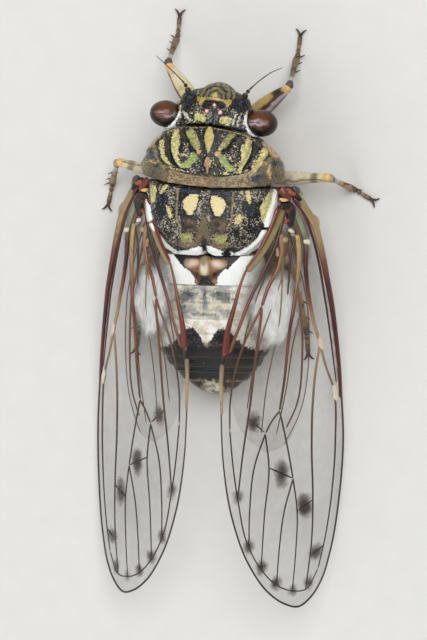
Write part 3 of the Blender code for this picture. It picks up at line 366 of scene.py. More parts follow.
def stroke(x, v, points):
    """How far inside a brush stroke each place is. points are x, v and half width."""
    best = np.full(np.shape(x), FAR)
    for (px, pv, pw), (qx, qv, qw) in zip(points, points[1:]):
        dx, dv = qx - px, qv - pv
        t = np.clip(((x - px) * dx + (v - pv) * dv) / (dx * dx + dv * dv), 0, 1)
        away = np.hypot(x - px - t * dx, v - pv - t * dv)
        best = np.maximum(best, pw + t * (qw - pw) - away)
    return best


def patch(x, v, outline):
    """How far inside a closed outline each place is, negative outside."""
    away = -stroke(x, v, [(px, pv, 0.0) for px, pv in (*outline, outline[0])])
    inside = np.zeros(np.shape(x), bool)
    for (ax, ay), (bx, by) in zip(outline, (*outline[1:], outline[0])):
        if ay != by:
            inside ^= ((ay > v) != (by > v)) & (x < (bx - ax) * (v - ay) / (by - ay) + ax)
    return np.where(inside, away, -away)


def joined(*fields):
    """The marking that several make together."""
    return np.maximum.reduce(fields)


def drawn(x, v, shapes):
    """The marking that several shapes make together.

    A shape is the side it lies on, its kind and its values. Sides are l, r, both (mirrored) and mid,
    which lies across the middle line. On a side, x counts outwards.
    """
    fields = []
    for side, kind, *values in shapes:
        field = kind(x if side == "mid" else np.abs(x), v, *values)
        if side in ("l", "r"):
            field = np.where((x > 0) == (side == "l"), field, FAR)
        fields.append(field)
    return joined(*fields)


def marks_of(table, x, v):
    """Each marking of a table by its name."""
    return {name: drawn(x, v, shapes) for name, shapes in table.items()}


def relief_of(table, x, v):
    """The height that the swellings and furrows of a table make together.

    A row is its height, how far inside its shapes it starts and is full, and the shapes.
    """
    return sum(height * ease(drawn(x, v, shapes), low, high) for height, low, high, shapes in table)


# Surfaces

def skin(rows, stops, sides, floor_z=None):
    """A grid (stop, turn, xyz) of points on the body through its station rows.

    With floor_z it is a shield: an arch over a flat underside at that height.
    """
    half, wide, top, bottom = smooth(rows, stops).T[:, :, None]
    turns = np.linspace(0, math.tau, sides, endpoint=False) + 0 * half
    if floor_z is not None:
        dip = np.arcsin(((wide - floor_z) / (wide - bottom)) ** (POWER / 2))
        turns = np.linspace(0, 1, sides) * (math.pi + 2 * dip) - dip
    up = np.sin(turns)
    x = half * np.copysign(np.abs(np.cos(turns)) ** (2 / POWER), np.cos(turns))
    z = wide + np.where(up > 0, top - wide, wide - bottom) * np.copysign(np.abs(up) ** (2 / POWER), up)
    if floor_z is not None:
        share = np.linspace(0, 1, UNDER_SIDES + 2)[1:-1]
        x = np.hstack([x, x[:, -1:] + (x[:, :1] - x[:, -1:]) * share])
        z = np.hstack([z, np.full((len(z), UNDER_SIDES), floor_z)])
    return np.stack([x, np.broadcast_to(np.asarray(stops)[:, None], x.shape), z], axis=-1)


def rounded(grid, radius=RIM):
    """The grid with a few more rings at each end, drawn in to round its edges."""
    ends = []
    for edge, sign in ((grid[0], -1), (grid[-1], 1)):
        inward = edge.mean(axis=0) - edge
        inward /= np.linalg.norm(inward, axis=1)[:, None]
        turns = np.linspace(0, math.pi / 2, RIM_STEPS + 1)[1:, None, None]
        moves = (1 - np.cos(turns)) * inward + np.sin(turns) * np.array((0, sign, 0))
        ends.append(edge + radius * moves)
    return np.concatenate([ends[0][::-1], grid, ends[1]])


def outward(grid):
    """Unit normals of a grid of rings, facing out."""
    along = np.gradient(grid, axis=0)
    around = np.roll(grid, -1, axis=1) - np.roll(grid, 1, axis=1)
    out = np.cross(around, along)
    out /= np.maximum(np.linalg.norm(out, axis=2, keepdims=True), 1e-9)
    return out * np.sign((out * (grid - grid.mean(axis=1, keepdims=True))).sum())


def raised(grid, height):
    """The grid moved outwards by a height at each point."""
    return grid + outward(grid) * height[..., None]


def loft(grid, marks):
    """A closed shape (vertices, faces, marks) from a grid of rings, with a fan at each end."""
    count, sides = grid.shape[:2]
    verts = np.concatenate([grid.reshape(-1, 3), grid[[0, -1]].mean(axis=1)])
    index = np.arange(count * sides).reshape(count, sides)
    after = np.roll(index, -1, axis=1)
    quads = np.stack([index[:-1], after[:-1], after[1:], index[1:]], axis=-1).reshape(-1, 4)
    first, last = count * sides, count * sides + 1
    fans = [(first, b, a) for a, b in zip(index[0].tolist(), after[0].tolist())]
    fans += [(last, a, b) for a, b in zip(index[-1].tolist(), after[-1].tolist())]
    faces = [*map(tuple, quads.tolist()), *fans]
    corners = verts[np.array([face[:3] for face in faces])]
    held = np.einsum("ij,ij->i", corners[:, 0], np.cross(corners[:, 1], corners[:, 2])).sum()
    if held < 0:
        faces = [face[::-1] for face in faces]
    made = {}
    for name, field in marks.items():
        depth = field.shape[2:]
        flat = np.broadcast_to(field, (count, sides, *depth)).reshape(count * sides, *depth)
        made[name] = np.concatenate([flat, field[0, :1], field[-1, :1]])
    return verts, faces, made


def merged(shapes):
    """Several shapes with the same marks as one."""
    verts, faces, marks, start = [], [], {}, 0
    for shape_verts, shape_faces, shape_marks in shapes:
        verts.append(shape_verts)
        faces += [tuple(k + start for k in face) for face in shape_faces]
        for name, field in shape_marks.items():
            marks.setdefault(name, []).append(field)
        start += len(shape_verts)
    return np.concatenate(verts), faces, {name: np.concatenate(fields) for name, fields in marks.items()}


def ball(at, radii, sides, marks, squash=None):
    """A closed ellipsoid. marks(points) gives its marks, and squash(points) may reshape it."""
    polar = np.linspace(0, math.pi, sides // 2 + 1)[1:-1, None]
    turns = np.linspace(0, math.tau, sides, endpoint=False)[None, :]
    unit = np.stack([np.sin(polar) * np.cos(turns), np.sin(polar) * np.sin(turns),
                     -np.cos(polar) + 0 * turns], axis=-1)
    grid = np.asarray(at) + unit * np.asarray(radii)
    if squash:
        grid = squash(grid)
    return loft(grid, marks(grid))


def tapered(radius, share, span, least):
    """The radii along a rod of that length, drawn in to round its two ends."""
    near = np.minimum(share, 1 - share) * span / np.maximum(radius, 1e-6)
    return radius * np.sqrt(np.clip(1 - (1 - np.clip(near, 0, 1)) ** 2, least, 1))


def run(points, step, fewest):
    """Evenly spaced places on a smooth line through the points, the way at each, and its share."""
    count = max(fewest, int(length(points) / step))
    line = through(points, count)
    along = np.gradient(line, axis=0)
    return line, along / np.linalg.norm(along, axis=1)[:, None], np.linspace(0, 1, count)


def tube(grid, share, turns, paint):
    """A closed tube with its colour. paint(at) gives the colour.

    at.share is how far along a place is, at.lift how far its face looks up and at.aside how far to
    its right, both from -1 to 1, and at.points are the places.
    """
    shares, lifts, asides = np.broadcast_arrays(share[:, None], np.sin(turns), np.cos(turns))
    at = SimpleNamespace(share=shares, lift=lifts, aside=asides, points=grid)
    return loft(grid, {"paint": paint(at)})


def bar(points, radii, sides, step, paint, flat=1.0):
    """A tube with rounded ends. radii are (share, radius) rows, flat squashes it from above."""
    line, along, share = run(points, step, 5)
    radius = tapered(smooth(radii, share)[:, 0], share, length(points), 0.03)[:, None, None]
    steep = abs(along[len(along) // 2][2]) >= STEEP
    aside = np.cross(along, (0, 1.0, 0) if steep else (0, 0, 1.0))
    aside /= np.linalg.norm(aside, axis=1)[:, None]
    lead = np.cross(aside, along)
    turns = np.linspace(0, math.tau, sides, endpoint=False)
    rings = np.cos(turns)[:, None] * aside[:, None] + flat * np.sin(turns)[:, None] * lead[:, None]
    return tube(line[:, None] + radius * rings, share, turns, paint)


def blend(share, names):
    """The colour at each share of the way through the named inks."""
    table = np.array([ink(name) for name in names])
    stops = np.linspace(0, 1, len(names))
    return np.stack([np.interp(share, stops, table[:, k]) for k in range(4)], axis=-1)


def graded(*names):
    """A paint for a tube: the named inks one after the other along it."""
    return lambda at: blend(at.share, names)


def plain(name, shape):
    """One ink all over an array of that shape."""
    return np.broadcast_to(ink(name), (*shape, 4)).copy()


def over(colour, name, amount):
    """The colour with a named ink laid over it by an amount from 0 to 1."""
    return colour + (ink(name) - colour) * np.clip(amount, 0, 1)[..., None]


def on_side(side, place):
    """A place whose x counts outwards, on one side of the body."""
    return np.array((side * place[0], *place[1:]))


def turned(points):
    """Turns places of the head about the neck."""
    cos, sin = math.cos(HEAD_TURN), math.sin(HEAD_TURN)
    x, v, z = np.moveaxis(np.asarray(points, float), -1, 0)
    return np.stack([x * cos - (v - NECK_V) * sin, NECK_V + x * sin + (v - NECK_V) * cos, z], axis=-1)


def on_head(shape):
    """A shape of the head, turned with it."""
    return turned(shape[0]), shape[1], shape[2]


def wing_place(side, a, c, height):
    """Places on the folded wing, whose sheet is arched a little across its width."""
    root, tip, slope = WING_PLACES[side]
    root = on_side(side, root)
    along = on_side(side, tip) - root
    along /= np.linalg.norm(along)
    across = np.array((side * math.cos(slope), 0, -math.sin(slope)))
    across -= along * across.dot(along)
    across /= np.linalg.norm(across)
    out = np.cross(along, across) * -side
    arch = np.clip(a / ARCH_A, 0, 1) ** 1.5 * np.maximum(0, 1 - ((c - ARCH_C) / ARCH_HALF) ** 2)
    lift = WING_BULGE * arch + height
    return root + a[..., None] * along + c[..., None] * across + lift[..., None] * out


def wing_points(side, places, height):
    """Single places on the folded wing, all at one height over its sheet."""
    a, c = np.array(places, float).T
    return wing_place(side, a, c, height)


def linked(name, data):
    """A new object in the scene."""
    made = bpy.data.objects.new(name, data)
    bpy.context.scene.collection.objects.link(made)
    return made


def piece(name, shape, material, stands_for=()):
    """A finished piece from a shape, which rides on the body and stands for some solids."""
    verts, faces, marks = shape
    mesh = bpy.data.meshes.new(name)
    mesh.from_pydata(placed(verts).tolist(), [], faces)
    for key, field in marks.items():
        kind, entry = ("FLOAT_COLOR", "color") if field.ndim == 2 else ("FLOAT", "value")
        layer = mesh.attributes.new(key, kind, "POINT")
        layer.data.foreach_set(entry, np.ascontiguousarray(field, np.float32).ravel())
    mesh.shade_smooth()
    mesh.materials.append(material)
    made = linked(name, mesh)
    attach(made, "root")
    if stands_for:
        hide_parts(*stands_for)
    return made


# Materials

class Finish:
    """One material, with short names for the nodes that all of them use. Lengths are millimetres."""

    def __init__(self, name, **values):
        """A new material, with its shader's plain values."""
        self.material = bpy.data.materials.new(name)
        self.material.use_nodes = True
        self.tree = self.material.node_tree
        self.shader = self.tree.nodes["Principled BSDF"]
        for key, value in values.items():
            self.shader.inputs[key.replace("_", " ").title().replace("Ior", "IOR")].default_value = value
        place = self.tree.nodes.new("ShaderNodeTexCoord").outputs["Object"]
        self.place = self.node("VectorMath", {0: place, "Scale": 1 / MM}, operation="SCALE").outputs[0]

    def node(self, kind, inputs, **options):
        """A node with its options set and its inputs given or linked."""
        made = self.tree.nodes.new("ShaderNode" + kind)
        for key, value in options.items():
            setattr(made, key, value)
        for slot, value in inputs.items():
            if isinstance(value, bpy.types.NodeSocket):
                self.tree.links.new(value, made.inputs[slot])
            else:
                made.inputs[slot].default_value = value
        return made

    def moved(self, shift, stretch=(1, 1, 1)):
        """The place, shifted and stretched, so that two noises differ."""
        inputs = {"Vector": self.place, "Location": (shift,) * 3, "Scale": stretch}
        return self.node("Mapping", inputs).outputs[0]

    def noise(self, size, detail=3.0, shift=0.0, stretch=(1, 1, 1)):
        """Noise from 0 to 1 with features of about that size."""
        place = self.moved(shift, stretch)
        inputs = {"Vector": place, "Scale": 1 / size, "Detail": detail, "Roughness": 0.6}
        return self.node("TexNoise", inputs).outputs["Fac"]

    def cells(self, size, shift):
        """Distance to the nearest centre of cells of about that size."""
        inputs = {"Vector": self.moved(shift), "Scale": 1 / size}
        return self.node("TexVoronoi", inputs).outputs["Distance"]

    def math(self, operation, first, second=0.0, third=0.0):
        """One sum of values or sockets."""
        return self.node("Math", {0: first, 1: second, 2: third}, operation=operation).outputs[0]

    def step(self, value, low, high, start=0.0, end=1.0):
        """Eases from start to end as the value goes from low to high."""
        inputs = {"Value": value, "From Min": low, "From Max": high, "To Min": start, "To Max": end}
        return self.node("MapRange", inputs, interpolation_type="SMOOTHSTEP").outputs[0]

    def mix(self, factor, *colours):
        """Two colours mixed, each a socket, the name of an ink or its four values."""
        first, second = (tuple(ink(colour)) if isinstance(colour, str) else colour for colour in colours)
        return self.node("Mix", {0: factor, 6: first, 7: second}, data_type="RGBA").outputs[2]

    def mark(self, name):
        """A mark of the mesh."""
        return self.node("Attribute", {}, attribute_name=name).outputs["Fac"]

    def paint(self):
        """The colour painted on the mesh."""
        return self.node("Attribute", {}, attribute_name="paint").outputs["Color"]

    def edge(self, name, noise, ragged, soft=0.03):
        """1 inside a mark and 0 outside, with an edge as ragged as that many millimetres."""
        value = self.math("MULTIPLY_ADD", self.math("SUBTRACT", noise, 0.5), 5 * ragged, self.mark(name))
        return self.step(value, -soft, soft)

    def feed(self, socket, value):
        """Links a value to one of the shader's sockets."""
        self.tree.links.new(value, self.shader.inputs[socket])

    def relief(self, height, depth):
        """A fine relief that many millimetres deep."""
        inputs = {"Height": height, "Distance": depth * MM, "Strength": 1.0}
        self.feed("Normal", self.node("Bump", inputs).outputs["Normal"])


def shell(name, dark, layers, fleck, fleck_share, gloss):
    """Dark cuticle with inks laid over it in order, and a fine fleck of pale scales over the dark.

    dark and fleck are two inks each, fleck_share is how many flecks there are, and gloss the least
    and greatest roughness. A layer is its mark, two inks that mottle it, how ragged its edge is in
    millimetres and how strongly dark specks show in it. The mark named bloom is a matt wax.
    """
    finish = Finish(name, Coat_Weight=0.1, Coat_Roughness=0.25, Specular_Ior_Level=0.35)
    broad = finish.noise(0.8, 4.0)
    middling = finish.noise(0.36, 3.0, 29.0)
    fine = finish.noise(0.17, 3.0, 17.0)
    tatter = finish.math("MULTIPLY_ADD", middling, 0.6, finish.math("MULTIPLY", fine, 0.4))
    grain = finish.noise(0.08, 2.0, 41.0)
    pits = finish.cells(0.17, 5.0)
    colour = finish.mix(finish.step(broad, 0.42, 0.6), *dark)
    scatter = finish.math("MULTIPLY_ADD", finish.math("SUBTRACT", broad, 0.5), 0.55, fine)
    scatter = finish.math("MULTIPLY_ADD", finish.mark("scales"), 0.22, scatter)
    bare = 0.84 - 0.1 * fleck_share
    flecks = finish.step(scatter, bare, bare + 0.05)
    colour = finish.mix(flecks, colour, finish.mix(finish.step(grain, 0.35, 0.65), *fleck))
    rough = finish.step(fine, 0.3, 0.7, *gloss)
    pores = finish.step(pits, 0.24, 0.14, 0.0, 0.6)
    specks = finish.math("MAXIMUM", pores, finish.step(fine, 0.47, 0.41))
    for mark, first, second, ragged, speckled in layers:
        edge = finish.edge(mark, tatter, min(1.5 * ragged, 0.4), max(0.03, ragged - 0.2))
        tone = finish.step(broad, 0.38, 0.62) if ragged > 0.25 else finish.step(middling, 0.42, 0.6)
        mottle = finish.mix(tone, first, second)
        mottle = finish.mix(finish.step(grain, 0.55, 0.75, 0.0, 0.25), mottle, dark[0])
        near = finish.step(finish.mark(mark), 0.05, 0.35, speckled, 0.4 * speckled)
        mottle = finish.mix(finish.math("MULTIPLY", specks, near), mottle, dark[0])
        colour = finish.mix(edge, colour, mottle)
        if mark == "bloom":
            rough = finish.math("MAXIMUM", rough, finish.math("MULTIPLY", edge, 0.85))
    finish.feed("Base Color", colour)
    finish.feed("Roughness", rough)
    height = finish.math("MULTIPLY_ADD", pits, 0.6, finish.math("MULTIPLY_ADD", flecks, 0.5, grain))
    finish.relief(height, 0.03)
    return finish.material


def painted(name, mottle=0.35, speck="umber", depth=0.02, size=0.3, **values):
    """A surface whose colour is painted on the mesh, mottled and speckled with a darker ink."""
    finish = Finish(name, **values)
    broad = finish.noise(size * 2.5, 3.0)
    fine = finish.noise(size * 0.5, 3.0, 23.0)
    darker = finish.math("MULTIPLY", finish.step(broad, 0.45, 0.72), mottle)
    colour = finish.mix(darker, finish.paint(), speck)
    colour = finish.mix(finish.step(fine, 0.66, 0.74, 0.0, mottle), colour, speck)
    finish.feed("Base Color", colour)
    base = finish.shader.inputs["Roughness"].default_value
    finish.feed("Roughness", finish.step(fine, 0.3, 0.7, base - 0.08, base + 0.1))
    finish.relief(finish.math("MULTIPLY_ADD", broad, 0.8, fine), depth)
    return finish.material


def eye_material():
    """Brown compound eye, faceted under a clear gloss, with a painted lit top, a painted lilac reflection
    and black painted shade below and behind.
    """
    finish = Finish("eye_facets", Coat_Weight=0.45, Coat_Roughness=0.07, Coat_Ior=1.35, Roughness=0.4,
                    Specular_Ior_Level=0.15)
    cloud = finish.noise(0.8, 2.0)
    streaks = finish.step(finish.noise(0.5, 3.0, 7.0, (0.5, 1.6, 1)), 0.45, 0.54, 0.1, 0.95)
    # painted light: the lit mark makes the top of the eye a lighter brown
    colour = finish.mix(finish.edge("lit", cloud, 0.15, 0.5), "eye", "eye_lit")
    # painted shade: black underneath and on the back, away from the lamps
    colour = finish.mix(finish.edge("dark", cloud, 0.1, 0.4), colour, "soot")
    # painted reflection: lilac streaks on top that stand for the sky seen in the eye
    sheen = finish.math("MULTIPLY", finish.edge("sheen", cloud, 0.1, 0.2), streaks)
    colour = finish.mix(sheen, colour, "lilac")
    facets = finish.cells(0.06, 3.0)
    colour = finish.mix(finish.step(facets, 0.35, 0.6, 0.0, 0.3), colour, "umber")
    finish.feed("Base Color", colour)
    finish.relief(finish.step(facets, 0.6, 0.1), 0.006)
    return finish.material


def ocellus_material():
    """Pale pink lens in a dark red rim, with a painted white highlight."""
    finish = Finish("ocellus_lens", Coat_Weight=0.9, Coat_Roughness=0.05, Roughness=0.2)
    cloud = finish.noise(0.15, 2.0)
    colour = finish.mix(finish.edge("lens", cloud, 0.02, 0.05), "crimson", "rose")
    # painted highlight: a white spot that stands for a lamp's reflection
    colour = finish.mix(finish.edge("glint", cloud, 0.01, 0.05), colour, "white")
    finish.feed("Base Color", colour)
    finish.relief(cloud, 0.01)
    return finish.material


def membrane_material():
    """Clear, faintly smoky wing skin: dark on its clouds, stained at its root, with a painted white
    reflection on the hindwing.
    """
    finish = Finish("wing_membrane", Coat_Weight=0.3, Coat_Roughness=0.12, Specular_Ior_Level=0.5)
    cloud = finish.noise(1.6, 4.0)
    wrinkle = finish.noise(0.5, 3.0, 9.0, (1, 0.35, 1))
    smoke = finish.edge("smoke", cloud, 0.25, 0.5)
    stain = finish.edge("stain", cloud, 0.2, 0.5)
    colour = finish.mix(finish.step(cloud, 0.35, 0.65), "dusk", "bark")
    colour = finish.mix(stain, colour, "brown")
    colour = finish.mix(smoke, colour, "umber")
    creased = finish.step(wrinkle, 0.3, 0.7, 0.85, 1.0)
    # painted reflection: the hindwing turns white and less clear where it would reflect the sky
    milk = finish.math("MULTIPLY", finish.edge("milk", cloud, 0.4, 1.0), creased)
    colour = finish.mix(milk, colour, "white")
    finish.feed("Base Color", colour)
    alpha = finish.step(cloud, 0.3, 0.7, 0.02, 0.06)
    for veil, share in ((finish.mark("tint"), 0.06), (smoke, 0.65), (stain, 0.45), (milk, 0.95)):
        alpha = finish.math("MULTIPLY_ADD", veil, share, alpha)
    finish.feed("Alpha", alpha)
    finish.feed("Roughness", finish.step(wrinkle, 0.3, 0.7, 0.12, 0.32))
    finish.relief(wrinkle, 0.05)
    return finish.material


def hair_material(name, root, tip):
    """Fine silky hair, from one ink at its root to another."""
    finish = Finish(name, Roughness=0.45, Specular_Ior_Level=0.4)
    uneven = finish.math("SUBTRACT", finish.noise(0.6), 0.5)
    tone = finish.math("MULTIPLY_ADD", uneven, 0.6, finish.mark("reach"))
    finish.feed("Base Color", finish.mix(finish.step(tone, 0.1, 0.8), root, tip))
    return finish.material


def floor_material():
    """Pale matt paper."""
    finish = Finish("pale_floor", Specular_Ior_Level=0.2)
    tooth = finish.noise(3.0, 4.0)
    finish.feed("Base Color", finish.mix(tooth, (0.70, 0.69, 0.67, 1), (0.76, 0.75, 0.73, 1)))
    finish.feed("Roughness", finish.step(tooth, 0.3, 0.7, 0.75, 0.9))
    return finish.material


# Head

CROWN_Z = 8.2  # the markings and the relief of the head lie above this height
AXIS_Z = 8.0  # height of the line that the eye sockets are drawn in towards
BEND_V = 1.4  # the sides of the head start to bow back here
EYE_GAP = 0.05  # between an eye and its socket
EYE_RIM = (0.16, 0.14, 0.09)  # height of the rim round an eye, where it lies and its breadth
ARC_V = 1.65  # middle of the dark arcs of the face
ARC_STEP = 0.55
FEELER_BASE = (3.2, 1.3, 9.0)
FEELER_STEM = (0.55, -0.9, 0.15)  # from the base to the end of the stem
FEELER_BENDS = {  # from there along the bristle
    "l": ((1.2, -1.1, 0.5), (2.4, -2.1, 0.85), (3.6, -3.0, 1.0)),
    "r": ((1.3, -1.3, 0.5), (2.5, -2.25, 0.85), (3.9, -3.0, 1.0)),
}
BEAK_LINE = ((0, 2.6, 4.8), (0, 3.4, 3.4), (0, 5.6, 2.2), (0, 8.6, 1.75), (0, 11.6, 1.5))
BEAK_RADII = ((0, 0.85), (0.25, 0.58), (0.55, 0.42), (1, 0.26))


def face_arcs(x, v):
    """How far inside one of the dark arcs of the face each place is."""
    reach = np.hypot(x, v - ARC_V) + 0.06 * np.sin(5 * x + 2) * np.sin(6 * v)
    return np.where(reach > ARC_STEP, 0.1 - np.abs((reach - 0.47) % ARC_STEP - 0.28), -0.3)


HEAD_MARKS = {
    "bosses": (("both", blob, (0.85, 2.4), (0.4, 0.42)), ("both", blob, (3.0, 2.1), (1.05, 0.75), 15)),
    "yellow": (
        ("both", stroke, ((0.0, 1.8, 0.14), (1.5, 1.86, 0.16), (2.6, 1.8, 0.1))),
        ("mid", patch, ((-0.62, 1.85), (0.62, 1.85), (0.25, 1.45), (0.0, 0.95), (-0.25, 1.45))),
    ),
    "rosy": (("mid", blob, (-0.35, 1.8), (0.6, 0.13)),),
    "teeth": (
        ("l", patch, ((2.45, 1.72), (1.0, 1.78), (1.2, 2.15), (1.45, 2.75), (1.75, 2.3), (2.1, 2.0))),
        ("r", patch, ((2.35, 1.72), (0.95, 1.78), (1.3, 2.15), (1.6, 2.75), (1.85, 2.3), (2.1, 2.0))),
    ),
    "green": (
        ("l", patch, ((0.62, 3.75), (1.0, 3.45), (1.7, 3.4), (2.05, 3.7), (2.0, 4.4), (0.6, 4.35))),
        ("r", patch, ((0.9, 4.2), (1.1, 3.6), (1.7, 3.5), (2.3, 3.75), (2.2, 4.4), (1.0, 4.4))),
    ),
    "streaks": (
        ("l", stroke, ((3.4, 3.4, 0.06), (3.0, 3.75, 0.14), (2.4, 4.25, 0.1))),
        ("l", stroke, ((2.6, 3.3, 0.05), (2.3, 3.6, 0.08))),
        ("r", stroke, ((2.7, 3.2, 0.05), (2.6, 3.7, 0.08), (2.5, 4.3, 0.1))),
        ("r", stroke, ((3.2, 3.1, 0.06), (3.05, 3.6, 0.1), (3.1, 4.3, 0.1))),
        ("both", stroke, ((3.85, 2.7, 0.06), (3.75, 3.3, 0.13), (3.7, 3.9, 0.12))),
    ),
    "bloom": (
        ("l", stroke, (
            (3.8, 3.5, 0.1), (4.05, 4.1, 0.24), (4.5, 4.55, 0.32), (5.2, 4.8, 0.3), (6.3, 4.9, 0.4),
        )),
        ("r", stroke, (
            (3.75, 3.3, 0.1), (3.95, 4.0, 0.17), (4.4, 4.45, 0.24), (5.2, 4.7, 0.28), (6.3, 4.9, 0.4),
        )),
    ),
    "tan": (
        ("l", stroke, ((4.75, 2.1, 0.2), (4.3, 2.4, 0.24), (4.1, 2.65, 0.1))),
        ("r", stroke, ((3.3, 1.25, 0.08), (3.9, 1.7, 0.14), (4.5, 2.2, 0.3))),
    ),
}
HEAD_RELIEF = (
    (0.16, 0.0, 0.7, (("mid", blob, (0, 2.9), (1.15, 1.25)),)),
    (-0.14, -0.15, 0.15, (("both", stroke, ((1.3, 2.3, 0.16), (1.35, 3.2, 0.2), (0.9, 4.3, 0.12))),)),
    (0.14, 0.0, 0.6, (("both", blob, (2.7, 2.9), (1.2, 1.0)),)),
    (0.28, 0.0, 0.5, (("both", blob, (3.25, 1.75), (0.95, 0.7)),)),
    (0.14, -0.1, 0.12, HEAD_MARKS["bloom"]),
    (-0.12, -0.12, 0.1, (("both", stroke, ((2.5, 1.35, 0.1), (2.6, 1.9, 0.1), (3.7, 2.6, 0.1))),)),
)


def head_relief(x, v):
    """The swelling under the ocelli, the furrows beside it, the ledges over the feelers and a crease."""
    return relief_of(HEAD_RELIEF, x, v) - 0.1 * np.exp(-((x / 0.09) ** 2)) * ease(v, 3.2, 3.7)


def head_marks(x, v):
    """The markings of the head, the dark arcs of its face and where it carries scales."""
    marks = marks_of(HEAD_MARKS, x, v)
    marks["face"] = np.minimum.reduce([-face_arcs(x, v), 1.7 - v, 2.5 - np.abs(x)])
    marks["scales"] = ease(v, 1.2, 2.0) - 0.9 * ease(marks["bosses"], -0.1, 0.05)
    return marks


def socketed(grid, centre, radii):
    """Draws the grid in, towards the body's axis, wherever it would enter an ellipsoid."""
    axis = np.stack([0 * grid[..., 0], grid[..., 1], np.full(grid.shape[:2], AXIS_Z)], axis=-1)
    ray, start = (grid - axis) / radii, (axis - np.asarray(centre)) / radii
    a = (ray ** 2).sum(axis=-1)
    b = 2 * (ray * start).sum(axis=-1)
    c = (start ** 2).sum(axis=-1) - 1
    root = np.sqrt(np.maximum(b * b - 4 * a * c, 0))
    enter, leave = (-b - root) / (2 * a), (-b + root) / (2 * a)
    inside = (b * b > 4 * a * c) & (enter < 1) & (leave > 1)
    reach = np.where(inside, enter, 1.0)
    return axis + (grid - axis) * reach[..., None]


def head_bend(x, v):
    """How far back the sides of the head are bowed, towards the neck seam."""
    return NECK_BOW * (x / NECK_HALF) ** 2 * np.clip((v - BEND_V) / (NECK_V - BEND_V), 0, None) ** 1.5


def head_grid():
    """The head capsule before it is turned, and the marks on it."""
    stops = np.arange(HEAD[0][0] + RIM, HEAD[-1][0] - RIM, FINE)
    grid = rounded(skin(HEAD, stops, 320))
    x, v, z = np.moveaxis(grid, -1, 0)
    upper = ease(z, CROWN_Z, 9.4)
    height = head_relief(x, v) * upper + UNEVEN * noise(grid, 0.5, 1)
    marks = head_marks(x, v)
    for name in marks:
        marks[name] = np.where(z > CROWN_Z, marks[name], OFF)
    grid = raised(grid, height)
    grid[..., 1] += head_bend(grid[..., 0], grid[..., 1])
    rim, reach, breadth = EYE_RIM
    for side in (-1, 1):
        centre = on_side(side, EYE_AT)
        away = np.linalg.norm((grid - centre) / np.array(EYE_RADII), axis=-1) - 1
        grid = raised(grid, rim * np.exp(-(((away - reach) / breadth) ** 2)))
        grid = socketed(grid, centre, np.array(EYE_RADII) + EYE_GAP)
    return grid, marks


def make_head():
    """The head capsule. Returns its grid, not turned yet."""
    grid, marks = head_grid()
    layers = (
        ("face", "khaki", "olive", 0.1, 0.6),
        ("tan", "peach", "gold", 0.08, 0.3),
        ("yellow", "gold", "khaki", 0.08, 0.5),
        ("teeth", "tooth", "gold", 0.08, 0.4),
        ("rosy", "pink", "peach", 0.06, 0.5),
        ("green", "lime", "cream", 0.16, 0.7),
        ("streaks", "cream", "silver", 0.12, 0.4),
        ("bosses", "black", "navy", 0.05, 0.0),
        ("bloom", "white", "white", 0.1, 0.6),
    )
    material = shell("head_cuticle", ("black", "navy"), layers, ("gold", "silver"), 0.4, (0.2, 0.45))
    piece("head_capsule", on_head(loft(grid, marks)), material, ("head",))
    return grid


def surface_z(grid, x, v):
    """Height of the upper side of a grid at a place."""
    flat = grid.reshape(-1, 3)
    upper = flat[flat[:, 2] > CROWN_Z]
    return upper[np.argmin(np.hypot(upper[:, 0] - x, upper[:, 1] - v)), 2]


def make_ocelli(grid):
    """The three simple eyes on top of the head."""
    shapes = []
    for x, v, lens in OCELLI:
        at = (x, v, surface_z(grid, x, v))

        def marks(points, at=at, lens=lens):
            """The pale lens and the painted highlight on it."""
            away = np.hypot(points[..., 0] - at[0] + 0.05, points[..., 1] - at[1])
            # the glint is a painted highlight on the lens
            return {"lens": lens - away, "glint": 0.2 * lens - away}

        shapes.append(ball(at, OCELLUS_RADII, 24, marks))
    piece("ocelli", on_head(merged(shapes)), ocellus_material())


def eye_marks(points):
    """Where an eye gets painted light and shade: black shade on its back and underside, a lit top and a
    lilac sheen that is a painted reflection.
    """
    x, v, z = np.moveaxis(points, -1, 0)
    out, back, up = np.abs(x) - EYE_AT[0], v - EYE_AT[1], z - EYE_AT[2]
    return {
        # painted shade below and behind, painted light on top, and the sheen as a painted reflection
        "dark": np.maximum((back - 0.65) * 0.9, (0.3 - up) * 0.8),
        "lit": np.where(up > 0, 0.95 - np.hypot(out * 0.85, back + 0.4), -0.5),
        "sheen": np.where(up > 0, 0.42 - np.hypot((out + 0.3) * 0.38, back + 0.05), -0.5),
    }


def make_eyes():
    """The two compound eyes."""
    material = eye_material()
    for side, hand in HANDS:
        shape = ball(on_side(side, EYE_AT), EYE_RADII, 96, eye_marks)
        piece(f"compound_eye_{hand}", on_head(shape), material, (f"eye_{hand}",))


def ridged(points):
    """The clypeus with grooves between its ridges, which fade at its middle, and a flat back."""
    x, _, z = np.moveaxis(points, -1, 0)
    polar = np.arccos(np.clip((z - CLYPEUS_AT[2]) / CLYPEUS_RADII[2], -1, 1)) / math.pi
    wave = 0.5 - 0.5 * np.cos(math.tau * CLYPEUS_RIDGES * polar)
    pull = 1 - 0.16 * wave * ease(np.abs(x), 0.25, 0.9) / CLYPEUS_RADII[0]
    centre = np.array(CLYPEUS_AT)
    made = centre + (points - centre) * np.stack([pull, pull, np.ones_like(pull)], axis=-1)
    made[..., 1] = np.minimum(made[..., 1], CLYPEUS_BACK_V)
    return made


